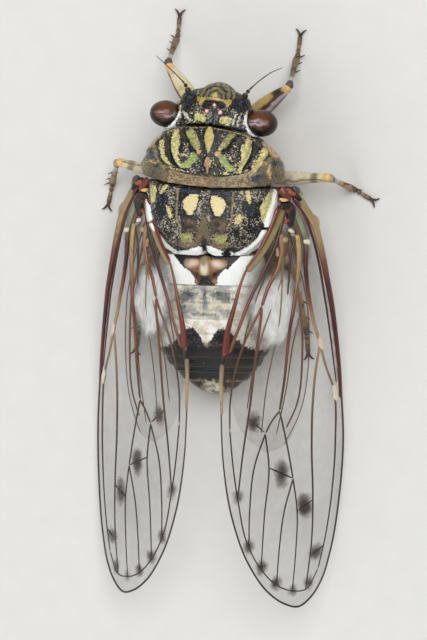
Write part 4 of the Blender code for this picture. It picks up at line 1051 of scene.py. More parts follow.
def clypeus_marks(points):
    """Dark arcs that become rungs lower down, and a pale triangle with two dots."""
    x, v, z = np.moveaxis(points, -1, 0)
    arcs = face_arcs(x, v)
    rungs = 0.1 * np.cos((z - CLYPEUS_AT[2]) * 6.5)
    low = ease(AXIS_Z - z, 0, 0.8)
    return {
        "arcs": arcs + (rungs - arcs) * low,
        "triangle": patch(np.abs(x), v, ((0, 1.0), (0.3, 1.4), (0.7, 1.85), (0, 1.85))) - low,
        "dots": blob(np.abs(x), v, (0.34, 0.1), (0.2, 0.16)) - ease(AXIS_Z - z, 0, 0.3),
        "scales": 0.2 + 0 * z,
    }


def make_clypeus():
    """The swollen face."""
    layers = (("arcs", "black", "umber", 0.1, 0.0), ("triangle", "gold", "yellow", 0.04, 0.2),
              ("dots", "soot", "black", 0.03, 0.0))
    material = shell("face_cuticle", ("olive", "khaki"), layers, ("gold", "sand"), 0.8, (0.25, 0.45))
    shape = ball(CLYPEUS_AT, CLYPEUS_RADII, 128, clypeus_marks, ridged)
    piece("face", on_head(shape), material, ("clypeus",))


def beak_paint(at):
    """Khaki to nearly black, with a dark line underneath."""
    colour = blend(at.share, ("khaki", "tan", "brown", "umber", "soot"))
    return over(colour, "umber", 0.8 * np.exp(-((at.aside / 0.25) ** 2)) * (at.lift < 0))


def make_rostrum():
    """The beak, folded back between the legs."""
    shape = bar(BEAK_LINE, BEAK_RADII, 28, 0.1, beak_paint)
    piece("beak", on_head(shape), painted("beak", Roughness=0.4), ("rostrum",))


def stem_paint(at):
    """Dark, lighter at the end."""
    return over(blend(at.share, ("umber", "soot", "umber")), "tan", ease(at.share, 0.85, 0.95) * 0.5)


def bristle_paint(at):
    """Dark with a pale tip."""
    return over(blend(at.share, ("umber", "soot", "soot", "umber")), "bone", ease(at.share, 0.93, 0.97))


def make_antennae():
    """The feelers: a stem of two lengths and a bent bristle each."""
    material = painted("feeler_cuticle", mottle=0.2, Roughness=0.35)
    for side, hand in HANDS:
        base = on_side(side, FEELER_BASE)
        tip = base + on_side(side, FEELER_STEM)
        back = base + on_side(side, (-0.3, 0.6, 0))
        middle = base + (tip - base) * 0.55
        line = [tip, *(tip + on_side(side, bend) for bend in FEELER_BENDS[hand])]
        shapes = [
            bar((back, middle), ((0, 0.36), (1, 0.34)), 24, 0.06, stem_paint),
            bar((middle, tip), ((0, 0.27), (1, 0.2)), 24, 0.06, stem_paint),
            bar(line, ((0, 0.12), (0.12, 0.08), (0.5, 0.06), (1, 0.035)), 12, 0.1, bristle_paint),
        ]
        piece(f"feeler_{hand}", on_head(merged(shapes)), material, (f"antenna_{hand}",))


# Thorax

PRONOTUM_MARKS = {
    "edging": (
        ("both", stroke, ((0.6, 5.0, 0.08), (4.0, 5.0, 0.07), (5.0, 5.3, 0.05))),
        ("r", stroke, ((5.9, 5.3, 0.16), (6.55, 6.2, 0.34), (7.05, 7.1, 0.38), (7.5, 7.9, 0.26))),
        ("r", stroke, ((6.9, 9.2, 0.12), (6.8, 9.9, 0.22), (7.0, 10.8, 0.12))),
        ("l", stroke, ((5.9, 5.4, 0.16), (6.5, 6.1, 0.3), (6.95, 6.9, 0.26))),
        ("l", stroke, ((6.2, 9.4, 0.1), (6.9, 9.0, 0.18), (7.5, 9.4, 0.1))),
    ),
    "blotch": (("l", blob, (6.8, 8.0), (0.5, 0.8), 10), ("r", blob, (7.4, 8.9), (0.45, 0.6), 10),
               ("r", blob, (5.6, 10.7), (0.9, 0.35), -15), ("l", blob, (6.0, 9.9), (0.5, 0.35), -30)),
    "band": (
        ("l", stroke, ((6.1, 5.6, 0.1), (6.2, 6.6, 0.12))),
        ("r", stroke, ((6.2, 5.8, 0.1), (6.5, 6.6, 0.14), (6.6, 7.5, 0.12))),
    ),
    "brown": (
        ("l", stroke, ((4.85, 5.9, 0.3), (4.95, 6.8, 0.34), (4.85, 7.6, 0.25))),
        ("r", stroke, ((5.1, 5.9, 0.2), (5.25, 6.6, 0.28), (5.3, 7.2, 0.2))),
        ("l", stroke, ((2.1, 6.6, 0.08), (1.5, 7.5, 0.2), (1.0, 8.3, 0.14))),
    ),
    "ring": (
        ("l", stroke, (
            (3.9, 5.6, 0.5), (3.92, 6.4, 0.54), (3.9, 7.3, 0.5), (3.75, 8.2, 0.42), (3.4, 8.9, 0.34),
            (2.95, 9.45, 0.22),
        )),
        ("r", stroke, (
            (4.45, 5.75, 0.4), (4.3, 6.5, 0.6), (4.3, 7.4, 0.62), (4.25, 8.3, 0.5), (4.05, 9.1, 0.42),
            (3.65, 9.8, 0.26),
        )),
    ),
    "crescent": (
        ("l", stroke, (
            (5.6, 6.4, 0.28), (5.6, 7.2, 0.32), (5.4, 8.1, 0.3), (4.9, 8.9, 0.26), (4.3, 9.5, 0.18),
        )),
        ("r", stroke, (
            (6.05, 6.4, 0.22), (6.1, 7.2, 0.36), (6.0, 8.2, 0.38), (5.7, 9.0, 0.4), (5.2, 9.6, 0.3),
        )),
    ),
    "inner": (
        ("l", patch, (
            (1.95, 5.2), (2.75, 5.35), (2.9, 5.6), (2.45, 6.3), (2.0, 7.0), (1.45, 7.6), (1.0, 7.6),
            (1.0, 7.0), (1.2, 6.3), (1.6, 5.6),
        )),
        ("r", patch, (
            (2.2, 5.4), (2.7, 5.2), (3.1, 5.3), (3.1, 5.6), (2.6, 6.2), (2.0, 7.0), (1.4, 7.5),
            (0.95, 7.6), (1.1, 7.2), (1.6, 6.3),
        )),
    ),
    "end": (("r", blob, (1.15, 7.85), (0.4, 0.4)), ("l", blob, (1.05, 7.7), (0.22, 0.3))),
    "leaf": (
        ("l", patch, (
            (1.9, 7.7), (1.3, 8.0), (1.05, 8.6), (1.6, 8.9), (1.9, 9.3), (2.3, 9.75), (2.7, 9.65),
            (3.1, 9.25), (2.7, 8.9), (2.2, 8.4),
        )),
        ("r", patch, (
            (1.2, 8.0), (1.9, 7.95), (2.1, 8.5), (2.6, 9.0), (3.15, 9.6), (2.9, 9.95), (2.2, 9.9),
            (1.85, 9.4), (1.4, 8.8),
        )),
    ),
    "stripe": (("mid", stroke, (
        (0, 5.05, 0.18), (0, 5.5, 0.4), (0, 6.0, 0.56), (0, 6.6, 0.46), (0, 7.2, 0.26), (0, 7.9, 0.05),
    )),),
    "seam": (("mid", stroke, ((0, 5.7, 0.02), (0, 7.2, 0.03))),),
    "diamond": (("mid", stroke, (
        (0, 8.2, 0.05), (0, 8.8, 0.36), (0, 9.2, 0.34), (0, 9.7, 0.12), (0, 10.35, 0.06),
    )),),
    "oval": (("l", blob, (2.82, 7.75), (0.62, 1.22), -8), ("r", blob, (3.0, 7.95), (0.7, 1.42), -6)),
    "spot": (
        ("l", stroke, ((3.4, 5.5, 0.26), (3.0, 5.9, 0.34), (2.65, 6.4, 0.18))),
        ("r", blob, (3.5, 5.95), (0.55, 0.42), 20),
    ),
    "fissure": (
        ("l", stroke, (
            (4.6, 5.5, 0.1), (4.6, 6.8, 0.1), (4.55, 7.8, 0.2), (4.2, 8.8, 0.28), (3.6, 9.7, 0.2),
        )),
        ("r", stroke, (
            (4.95, 5.6, 0.1), (4.98, 6.8, 0.08), (4.85, 7.8, 0.12), (4.65, 8.7, 0.25), (4.15, 9.8, 0.3),
        )),
        ("both", stroke, ((3.05, 5.35, 0.1), (2.5, 6.4, 0.09), (1.9, 7.35, 0.08), (1.5, 7.8, 0.05))),
        ("both", stroke, ((0.62, 5.3, 0.14), (0.8, 6.3, 0.12), (0.5, 7.3, 0.1))),
    ),
    "khaki": (("mid", blob, (0.6, 11.2), (1.9, 0.7)),),
    "line": (
        ("r", stroke, ((0.2, 10.6, 0.03), (2.5, 10.5, 0.06), (4.6, 10.1, 0.05), (5.8, 9.4, 0.03))),
        ("l", stroke, ((0.6, 10.6, 0.02), (2.4, 10.5, 0.04), (4.2, 10.2, 0.03))),
    ),
    "flecks": (("both", stroke, (
        (0.7, 10.15, 0.02), (2.0, 10.15, 0.06), (4.2, 9.85, 0.06), (5.2, 9.4, 0.03),
    )),),
    "pale": (("r", stroke, ((5.45, 7.6, 0.2), (5.3, 8.6, 0.35), (5.1, 9.4, 0.3))),),
}
DISC_V = 7.0  # where the groove round the disc of the pronotum starts to turn in
DISC_HALF = 6.3
DISC_LENGTH = 3.45  # from there to its back
DISC_POWER = 2.6
PRONOTUM_RELIEF = (
    (-0.26, -0.25, 0.1, (
        ("both", stroke, ((3.05, 5.35, 0.1), (2.5, 6.4, 0.12), (1.9, 7.35, 0.12), (1.55, 7.9, 0.05))),
    )),
    (-0.3, -0.3, 0.1, (("both", stroke, (
        (4.85, 5.6, 0.1), (4.85, 6.6, 0.12), (4.7, 7.6, 0.15), (4.4, 8.6, 0.16), (3.6, 9.8, 0.1),
    )),)),
    (0.12, -0.3, 0.2, (("mid", stroke, ((0, 5.2, 0.5), (0, 7.6, 0.2), (0, 9.0, 0.45), (0, 9.8, 0.1))),)),
    (0.18, -0.1, 0.5, (("both", blob, (2.95, 7.8), (0.8, 1.45), -8),)),
    (-0.12, -0.1, 0.3, (("both", blob, (1.0, 9.6), (1.0, 0.5)),)),
    (0.6, 0.0, 0.7, (("r", blob, (6.9, 6.7), (1.4, 1.7)),)),
    (0.35, 0.0, 0.7, (("l", blob, (6.9, 6.7), (1.4, 1.7)),)),
)


def disc_edge(x, v):
    """How far outside the groove round the pronotum's disc each place is."""
    across, back = np.abs(x) / (DISC_HALF - 0.03 * x), np.maximum(0, v - DISC_V) / DISC_LENGTH
    return ((across ** DISC_POWER + back ** DISC_POWER) ** (1 / DISC_POWER) - 1) * DISC_LENGTH


def pronotum_marks(x, v):
    """The markings of the pronotum, its dapples, the painted shade of its collar's creases, and where it
    carries scales.
    """
    marks = marks_of(PRONOTUM_MARKS, x, v)
    outside = disc_edge(x, v)
    oval, pale = marks.pop("oval"), marks.pop("pale")
    marks["ring"] = np.minimum(marks["ring"], -oval)
    marks["collar"] = outside - 0.06
    marks["flank"] = np.minimum(outside - 0.35, np.abs(x) - 5.0)
    dapples = 0.5 * np.sin(2.9 * x + 1.3 * v) * np.sin(2.3 * v - 0.8 * x) - 0.12
    marks["dapple"] = np.minimum(np.abs(x) - 4.6, dapples)
    # painted shade: thin brown lines across the collar for the shade in its creases
    creases = 0.03 * np.sin(21 * v + 2.5 * np.sin(1.4 * x)) - 0.01
    marks["creases"] = np.minimum(v - COLLAR_FRONT_V, creases)
    marks["scales"] = joined(
        0.85 + 0 * x, 1.1 * ease(oval, -0.1, 0.1), 1.3 * ease(pale, -0.1, 0.2),
        0.9 * ease(outside, -0.05, 0.1),
    )
    return marks


def pronotum_relief(x, v):
    """The disc in its groove, its furrows and shoulders, and the collar's wrinkles and lip."""
    groove = -0.3 * np.exp(-((disc_edge(x, v) / 0.17) ** 2)) * ease(v, 5.5, 6.8)
    waves = np.sin((v + 0.05 * np.sin(x * 2.3)) * 24 + 0.6 * np.sin(x * 0.9))
    wrinkles = 0.035 * waves * ease(v, COLLAR_FRONT_V, COLLAR_FRONT_V + 0.3)
    lip = 0.1 * np.exp(-(((v - 11.5) / 0.16) ** 2))
    return relief_of(PRONOTUM_RELIEF, x, v) + groove + wrinkles + lip


def collar_bend(x):
    """How far back of COLLAR_V the seam behind the collar lies, at a place across it."""
    return -COLLAR_BOW * x * x - COLLAR_SKEW * x


def pronotum_bend(x, v):
    """How far back the pronotum is bowed, from the neck seam in front to its collar's seam."""
    start, end = COLLAR_REACH
    front = np.clip((start - v) / (start - NECK_V), 0, None)
    back = np.clip((v - start) / (end - start), 0, 1)
    neck_bend = NECK_BOW * (x / NECK_HALF) ** 2 + math.tan(HEAD_TURN) * x
    return neck_bend * front + collar_bend(x) * back


def shield(rows, relief, marks, bend, seed, sides, middle):
    """The grid of a dorsal shield and its marks, which lie about its own middle line."""
    stops = np.arange(rows[0][0] + RIM, rows[-1][0] - RIM, FINE)
    grid = rounded(skin(rows, stops, sides, SHIELD_Z))
    x, v, z = np.moveaxis(grid, -1, 0)
    x = x - middle * (1 - ease(np.abs(x), 3.0, 6.5))
    top = ease(z, SHIELD_Z + 0.1, SHIELD_Z + 1.4)
    made = {name: field + 0 * x for name, field in marks(x, v).items()}
    grid = raised(grid, (relief(x, v) + UNEVEN * noise(grid, 0.6, seed)) * top)
    grid[..., 1] += bend(grid[..., 0], grid[..., 1])
    return grid, made


def make_pronotum():
    """The front back, with its fissures, green and yellow marks and collar. Returns its grid."""
    grid, marks = shield(PRONOTUM, pronotum_relief, pronotum_marks, pronotum_bend, 2, 340, 0.0)
    layers = (
        ("collar", "sand", "bark", 0.08, 0.2),
        ("khaki", "sand", "tan", 0.7, 0.2),
        ("flank", "olive", "bark", 0.6, 0.9),
        # painted shade of the collar's creases
        ("creases", "brown", "bark", 0.08, 0.5),
        ("dapple", "olive", "dusk", 0.45, 0.9),
        ("blotch", "navy", "slate", 0.45, 0.6),
        ("brown", "brown", "umber", 0.25, 0.4),
        ("ring", "lime", "cream", 0.14, 1.0),
        ("crescent", "yellow", "cream", 0.14, 1.0),
        ("inner", "lime", "khaki", 0.11, 1.0),
        ("end", "tan", "peach", 0.2, 0.6),
        ("leaf", "leaf", "lime", 0.12, 0.7),
        ("stripe", "yellow", "gold", 0.06, 0.35),
        ("seam", "olive", "brown", 0.03, 0.0),
        ("diamond", "tan", "gold", 0.06, 0.35),
        ("spot", "dusk", "umber", 0.2, 0.5),
        ("band", "black", "navy", 0.15, 0.0),
        ("fissure", "black", "soot", 0.08, 0.0),
        ("edging", "peach", "sand", 0.16, 0.5),
        ("line", "silver", "sand", 0.08, 0.3),
        ("flecks", "silver", "cream", 0.12, 0.8),
    )
    material = shell("pronotum_cuticle", ("black", "navy"), layers, ("gold", "bone"), 0.55, (0.25, 0.5))
    piece("pronotum_shield", loft(grid, marks), material, ("pronotum",))
    return grid


NOTCH_V = 17.0  # the notch in the back of the mesonotum starts here
MESONOTUM_MARKS = {
    "blue": (("both", stroke, ((1.0, 12.3, 0.1), (2.7, 12.35, 0.17))),),
    "stripe": (("mid", stroke, ((0, 14.6, 0.1), (0, 15.6, 0.42), (0, 16.6, 0.6), (0, 17.3, 0.95))),),
    "low": (("both", blob, (1.75, 16.1), (1.1, 0.8)),),
    "lines": (("both", stroke, (
        (3.2, 12.2, 0.12), (3.2, 14.0, 0.13), (3.15, 15.3, 0.14), (2.7, 16.3, 0.12),
    )),),
    "side": (
        ("l", patch, ((6.1, 12.4), (7.0, 12.4), (7.1, 13.2), (6.7, 14.2), (6.2, 13.9), (6.0, 13.0))),
        ("r", patch, (
            (6.8, 12.5), (7.3, 12.5), (7.2, 13.8), (6.8, 14.7), (6.5, 15.9), (6.15, 15.2), (6.0, 13.9),
        )),
    ),
    "rear": (("both", patch, (
        (1.25, 17.0), (2.0, 16.95), (2.8, 17.0), (2.75, 17.6), (2.3, 18.1), (1.5, 18.0), (1.1, 17.5),
    )),),
    "fan": (("both", blob, (1.7, 18.2), (1.2, 0.5)),),
    "tear": (("both", patch, (
        (0.72, 12.6), (1.4, 12.6), (2.1, 12.95), (2.5, 13.5), (2.3, 14.2), (1.85, 14.85), (1.35, 14.85),
        (0.95, 14.1), (0.7, 13.2),
    )),),
    "spots": (
        ("l", stroke, ((5.4, 12.9, 0.14), (5.0, 12.5, 0.24), (4.7, 12.1, 0.2))),
        ("r", stroke, ((4.7, 12.1, 0.2), (4.8, 12.8, 0.25), (4.95, 13.4, 0.12))),
        ("l", stroke, ((4.5, 14.1, 0.1), (4.15, 14.6, 0.28), (3.9, 15.2, 0.18))),
        ("r", stroke, ((4.0, 14.7, 0.12), (3.9, 15.2, 0.36), (3.75, 15.7, 0.18))),
        ("r", stroke, ((3.9, 15.2, 0.2), (4.4, 15.0, 0.1))),
    ),
    "bloom": (
        ("r", patch, (
            (7.2, 12.2), (8.0, 12.2), (8.0, 15.0), (7.4, 16.4), (6.4, 16.2), (6.55, 15.3), (6.8, 14.4),
            (7.1, 13.6),
        )),
        ("l", stroke, ((7.6, 12.7, 0.3), (7.5, 13.8, 0.42), (7.2, 14.8, 0.5), (6.9, 15.6, 0.4))),
        ("r", stroke, (
            (6.4, 16.8, 0.32), (5.9, 17.8, 0.36), (5.1, 18.6, 0.36), (4.3, 19.1, 0.33), (3.4, 19.5, 0.3),
        )),
        ("l", stroke, (
            (6.6, 16.2, 0.3), (5.9, 17.3, 0.34), (5.1, 18.3, 0.34), (4.2, 19.0, 0.32), (3.5, 19.4, 0.3),
        )),
        ("both", patch, (
            (0.25, 18.8), (0.7, 18.5), (1.3, 18.6), (2.0, 18.95), (3.2, 19.1), (3.2, 19.8), (0.25, 19.8),
        )),
    ),
    "notch": (("mid", stroke, ((0, 17.3, 0.18), (0, 18.3, 0.36), (0, 18.9, 0.14))),),
    "dark": (("both", blob, (3.1, 18.75), (0.6, 0.26)), ("r", blob, (2.45, 19.15), (0.5, 0.2))),
}


def mesonotum_marks(x, v):
    """The markings of the mesonotum and where it carries scales."""
    across = np.abs(x)
    marks = marks_of(MESONOTUM_MARKS, x, v)
    lobe = patch(across, v, ((0.6, 12.1), (3.0, 12.1), (3.05, 15.0), (2.4, 15.6), (0.75, 15.4)))
    front_bare = blob(across, v, (5.1, 14.1), (0.8, 1.2), -20)
    bare = joined(front_bare, blob(across, v, (6.1, 16.4), (0.5, 1.1), 30))
    marks["scales"] = 1.0 - 0.45 * ease(lobe, -0.1, 0.1) - 0.7 * ease(bare, -0.2, 0.3)
    return marks


MESONOTUM_RELIEF = (
    (0.3, 0.0, 0.15, MESONOTUM_MARKS["bloom"]),
    (-0.08, -0.2, 0.0, (
        ("both", stroke, ((3.15, 12.2, 0.05), (3.2, 14.0, 0.05), (3.15, 15.3, 0.05), (2.6, 16.4, 0.05))),
    )),
    (0.08, 0.0, 0.6, (("both", blob, (1.75, 13.9), (1.1, 2.0)),)),
    (-0.16, 0.0, 0.5, (("mid", blob, (0, 18.2), (0.9, 1.0)),)),
)


def mesonotum_relief(x, v):
    """The raised rim and the groove ahead of it, shallow grooves along the tan lines, and a dent."""
    rim = drawn(x, v, MESONOTUM_MARKS["bloom"])
    return relief_of(MESONOTUM_RELIEF, x, v) - 0.14 * np.exp(-(((rim + 0.12) / 0.1) ** 2))


def mesonotum_bend(x, v):
    """How far back the mesonotum is bowed at its front, and the notch in its back edge."""
    notch = -0.4 * np.exp(-((x / 0.6) ** 2)) * np.clip((v - NOTCH_V) / (MESO_BACK_V - NOTCH_V), 0, None)
    front = np.clip((MESO_REACH - v) / (MESO_REACH - COLLAR_V - GAP), 0, 1)
    return notch + collar_bend(x) * front


def make_mesonotum():
    """The middle back, with its paired marks and its white rim. Returns its grid."""
    grid, marks = shield(MESONOTUM, mesonotum_relief, mesonotum_marks, mesonotum_bend, 3, 360, MIDLINE)
    layers = (
        ("blue", "steel", "navy", 0.2, 0.5),
        ("low", "bark", "umber", 0.5, 1.0),
        ("stripe", "bark", "olive", 0.45, 0.8),
        ("lines", "sand", "bark", 0.1, 0.6),
        ("side", "lime", "cream", 0.1, 0.3),
        ("fan", "sand", "bark", 0.5, 0.8),
        ("rear", "green", "khaki", 0.25, 0.7),
        ("tear", "cream", "cream", 0.1, 0.5),
        ("spots", "cream", "yellow", 0.12, 0.7),
        ("notch", "umber", "black", 0.2, 0.0),
        ("bloom", "white", "white", 0.03, 0.0),
        ("dark", "soot", "black", 0.08, 0.0),
    )
    material = shell("mesonotum_cuticle", ("black", "navy"), layers, ("bark", "bone"), 0.95, (0.3, 0.55))
    piece("mesonotum_shield", loft(grid, marks), material, ("mesonotum",))
    return grid


METANOTUM_MARKS = {
    "bloom": (("both", patch, (
        (4.2, 19.3), (6.8, 19.3), (6.8, 23.3), (1.2, 23.3), (1.1, 22.7), (1.5, 21.9), (2.2, 20.9),
        (3.2, 20.3),
    )),),
    "slate": (("both", stroke, ((3.6, 19.4, 0.3), (2.9, 20.2, 0.32), (2.4, 20.9, 0.2))),),
}
CROSS_AT = (0.25, 20.9, 12.0)
CROSS_RADII = (1.05, 1.35, 0.95)
CROSS_PAINT_X = 0.3  # middle of its colours
CROSS_INKS = (  # ink, how strong, how far inside its shapes it starts and is full, and the shapes
    ("pink", 0.9, -0.3, 0.3, (("both", blob, (1.5, 20.45), (0.75, 0.4), 20),)),
    ("bone", 1, -0.2, 0.3, (("mid", blob, (0, 21.0), (0.5, 0.85)),)),
    ("khaki", 1, -0.15, 0.15, (("mid", blob, (0, 20.1), (0.3, 0.6)),)),
    ("brown", 1, -0.2, 0.05, (
        ("both", stroke, ((2.4, 21.0, 0.05), (1.5, 21.5, 0.12), (0.8, 22.0, 0.2), (0, 22.5, 0.7))),
    )),
    ("umber", 1, -0.15, 0.1, (("mid", blob, (0, 22.3), (0.6, 0.4)),)),
    ("pink", 1, -0.03, 0.05, (("mid", blob, (0, 22.85), (0.2, 0.15)),)),
)
CROSS_ARMS = (  # middle, points as x outwards from it, v, z, and radii
    (0.25, ((0.3, 20.9, 12.1), (1.3, 20.7, 12.1), (2.6, 20.3, 11.7)), ((0, 0.85), (0.5, 0.8), (1, 0.45))),
    (0.2, ((0.2, 21.5, 12.1), (0.7, 22.1, 12.0), (1.3, 22.8, 11.7)), ((0, 0.6), (0.5, 0.4), (1, 0.2))),
)


def metanotum_marks(x, v):
    """The white triangles of the metanotum, their edges and the dark strokes beside the cross."""
    marks = marks_of(METANOTUM_MARKS, x, v)
    marks["edges"] = marks["bloom"] + 0.3
    marks["scales"] = 0.6 + 0 * x
    return marks


def level(x, _):
    """No relief and no bend."""
    return 0.0 * x


def make_metanotum():
    """The plate behind the middle back, with its white triangles."""
    grid, marks = shield(METANOTUM, level, metanotum_marks, level, 4, 300, MIDLINE)
    layers = (("edges", "bark", "brown", 0.15, 0.3), ("bloom", "white", "white", 0.08, 0.0),
              ("slate", "navy", "black", 0.1, 0.0))
    material = shell("metanotum_cuticle", ("umber", "black"), layers, ("bark", "silver"), 0.9, (0.3, 0.5))
    piece("metanotum_plate", loft(grid, marks), material, ("metanotum",))


def cross_paint(points):
    """Rust and tan, with pink front arms, a pale middle and dark seams towards the back."""
    x, v, _ = np.moveaxis(points, -1, 0)
    x = x - CROSS_PAINT_X
    colour = over(plain("rust", x.shape), "tan", 0.5 + 0.5 * noise(points, 0.5, 25))
    for name, amount, low, high, shapes in CROSS_INKS:
        colour = over(colour, name, amount * ease(drawn(x, v, shapes), low, high))
    return colour


def make_cross():
    """The raised cross between the roots of the wings."""
    shapes = [ball(CROSS_AT, CROSS_RADII, 64, lambda points: {"paint": cross_paint(points)})]
    for side in (-1, 1):
        for middle, points, radii in CROSS_ARMS:
            line = [(middle + side * x, v, z) for x, v, z in points]
            shapes.append(bar(line, radii, 32, 0.08, lambda at: cross_paint(at.points), 0.75))
    material = painted("cross_cuticle", 0.3, "brown", 0.03, 0.35, Roughness=0.5)
    piece("cross_ridge", merged(shapes), material)


THORAX_RIM = 0.3
THORAX_SEAMS = (10.2, 15.4, 20.2)


def make_thorax():
    """The underside that carries the legs: pale plates with dark seams. Returns grid and material."""
    stops = np.arange(THORAX[0][0] + THORAX_RIM, THORAX[-1][0] - THORAX_RIM, 0.14)
    grid = rounded(skin(THORAX, stops, 220), THORAX_RIM)
    x, v, z = np.moveaxis(grid, -1, 0)
    grid[..., 2] = np.minimum(z, SHIELD_Z - GAP)
    seams = joined(*(0.12 - np.abs(v + 0.35 * np.cos(x * 0.7) - at) for at in THORAX_SEAMS))
    grid = raised(grid, -0.22 * ease(seams, -0.15, 0.1) + 0.05 * noise(grid, 0.9, 5))
    marks = {
        "pale": 0.6 * noise(grid, 2.0, 6) + 0.15,
        "seams": seams,
        "scales": 0.8 + 0 * x,
    }
    layers = (("pale", "sand", "khaki", 0.3, 0.3), ("seams", "umber", "black", 0.08, 0.0))
    material = shell("belly_cuticle", ("umber", "olive"), layers, ("silver", "bone"), 0.6, (0.45, 0.65))
    piece("thorax_underside", loft(grid, marks), material, ("thorax",))
    return grid, material


# Abdomen

ABDOMEN_SIDE_Z = 4.6  # the markings of the upper side end at this height
BLOOM_ENDS = (  # across, and how far back the white bloom reaches
    (0, 29.7), (0.6, 29.2), (1.4, 27.9), (2.6, 27.9), (3.4, 29.2), (4.6, 30.3), (6.2, 30.6), (7.6, 30.0),
)
ABDOMEN_DARK = (
    ("l", blob, (2.3, 24.3), (1.1, 0.6), 25),
    ("r", blob, (1.9, 24.2), (1.1, 0.55), 15),
    ("l", blob, (2.6, 25.7), (0.35, 0.8), 10),
    ("mid", stroke, ((-1.4, 26.35, 0.02), (1.6, 26.25, 0.05))),
    ("mid", stroke, ((0.1, 23.6, 0.3), (0.1, 25.4, 0.1))),
)
ABDOMEN_TAN = (
    ("both", stroke, ((5.4, 24.2, 0.1), (5.9, 26.8, 0.18), (5.6, 29.5, 0.14))),
    ("both", stroke, ((0.0, 27.4, 0.05), (0.0, 29.8, 0.14))),
)
OPERCULUM_AT = (3.0, 24.2)
OPERCULUM_HALVES = (2.6, 3.5)
OPERCULUM_RINGS = 26
OPERCULUM_SIDES = 72
OPERCULUM_THICKNESS = (0.06, 0.44)  # at its edge, and how much more in its middle


def tergite_share(v, end):
    """0 at the front of each ring and 1 at its back. The last ring ends at that place."""
    edges = np.array((META_BACK_V + GAP, *TERGITE_ENDS, end))
    k = np.clip(np.searchsorted(edges, v, side="right") - 1, 0, len(edges) - 2)
    return (v - edges[k]) / (edges[k + 1] - edges[k])


def abdomen_marks(x, v, z):
    """The white bloom, its clouds and smudges on the upper side, and the dark bands of the rings."""
    x = x - MIDLINE
    upper = {
        "bloom": np.interp(np.abs(x), *zip(*BLOOM_ENDS)) - v,
        "cloud": np.minimum(3.2 - np.abs(x), 27.0 - v) - 0.3,
        "dark": drawn(x, v, ABDOMEN_DARK),
        "tan": drawn(x, v, ABDOMEN_TAN),
    }
    marks = {name: np.where(z > ABDOMEN_SIDE_Z, field, OFF) for name, field in upper.items()}
    below = 0.5 * noise(np.stack([x + MIDLINE, v + 0 * x, z], -1), 2.2, 8)
    marks["bloom"] = np.where(z > ABDOMEN_SIDE_Z, marks["bloom"], below)
    marks["bands"] = 0.1 - np.abs(tergite_share(v, PYGOFER_V) - 0.92) * 1.6
    marks["scales"] = ease(32.0 - v, 0.0, 3.0)
    return marks


def make_abdomen():
    """The rings, each of which swells to its back edge and drops to the next. Returns their grid."""
    stops = np.arange(META_BACK_V + 0.14, PYGOFER_V - 0.1, FINE)
    grid = rounded(skin(ABDOMEN, stops, 360), 0.12)
    x, v, z = np.moveaxis(grid, -1, 0)
    marks = {name: field + 0 * x for name, field in abdomen_marks(x, v, z).items()}
    share = tergite_share(v, PYGOFER_V + 0.5)
    swell = ease(share, 0.0, 0.7) * (1 - ease(share, 0.93, 1.0))
    grid = raised(grid, TERGITE_STEP * swell + 0.04 * noise(grid, 0.8, 9))
    layers = (
        ("bands", "umber", "brown", 0.05, 0.2),
        ("bloom", "white", "bone", 0.3, 0.0),
        ("cloud", "bone", "mist", 0.6, 0.3),
        ("tan", "pink", "bone", 0.5, 0.0),
        ("dark", "slate", "grey", 0.5, 0.1),
    )
    material = shell("abdomen_cuticle", ("soot", "black"), layers, ("brown", "grey"), 0.2, (0.25, 0.45))
    piece("abdomen_rings", loft(grid, marks), material, ("abdomen",))
    return grid


def make_tail():
    """The last segment, with a pale bloom on top."""
    stops = np.arange(PYGOFER_V, TAIL_V - 0.1, 0.06)
    grid = rounded(skin(ABDOMEN, stops, 200), 0.08)
    x, v, z = np.moveaxis(grid, -1, 0)
    step = TERGITE_STEP * ease(v, 33.3, 34.3) * (1 - ease(v, 34.38, 34.46))
    marks = {
        "bloom": blob(x, v, (0.2, 35.4), (1.1, 0.9)) + 0 * z,
        "tan": joined(v - 35.4, 0.2 - np.abs(v - 34.4)) + 0 * x,
        "scales": 0.5 + 0 * x,
    }
    grid = raised(grid, step + UNEVEN * noise(grid, 0.6, 10))
    layers = (("tan", "brown", "tan", 0.15, 0.3), ("bloom", "bone", "grey", 0.6, 0.2))
    material = shell("tail_cuticle", ("soot", "black"), layers, ("brown", "silver"), 0.4, (0.25, 0.45))
    piece("tail_segment", loft(grid, marks), material, ("pygofer",))


def underside(x, v):
    """Height of the lowest surface of thorax or abdomen at each place."""
    heights = []
    for rows in (THORAX, ABDOMEN):
        half, wide, _, bottom = smooth(rows, v.ravel()).T.reshape(4, *np.shape(v))
        share = 1 - np.minimum(1, np.abs(x) / half) ** POWER
        heights.append(wide - (wide - bottom) * share ** (1 / POWER))
    return np.minimum(*heights)


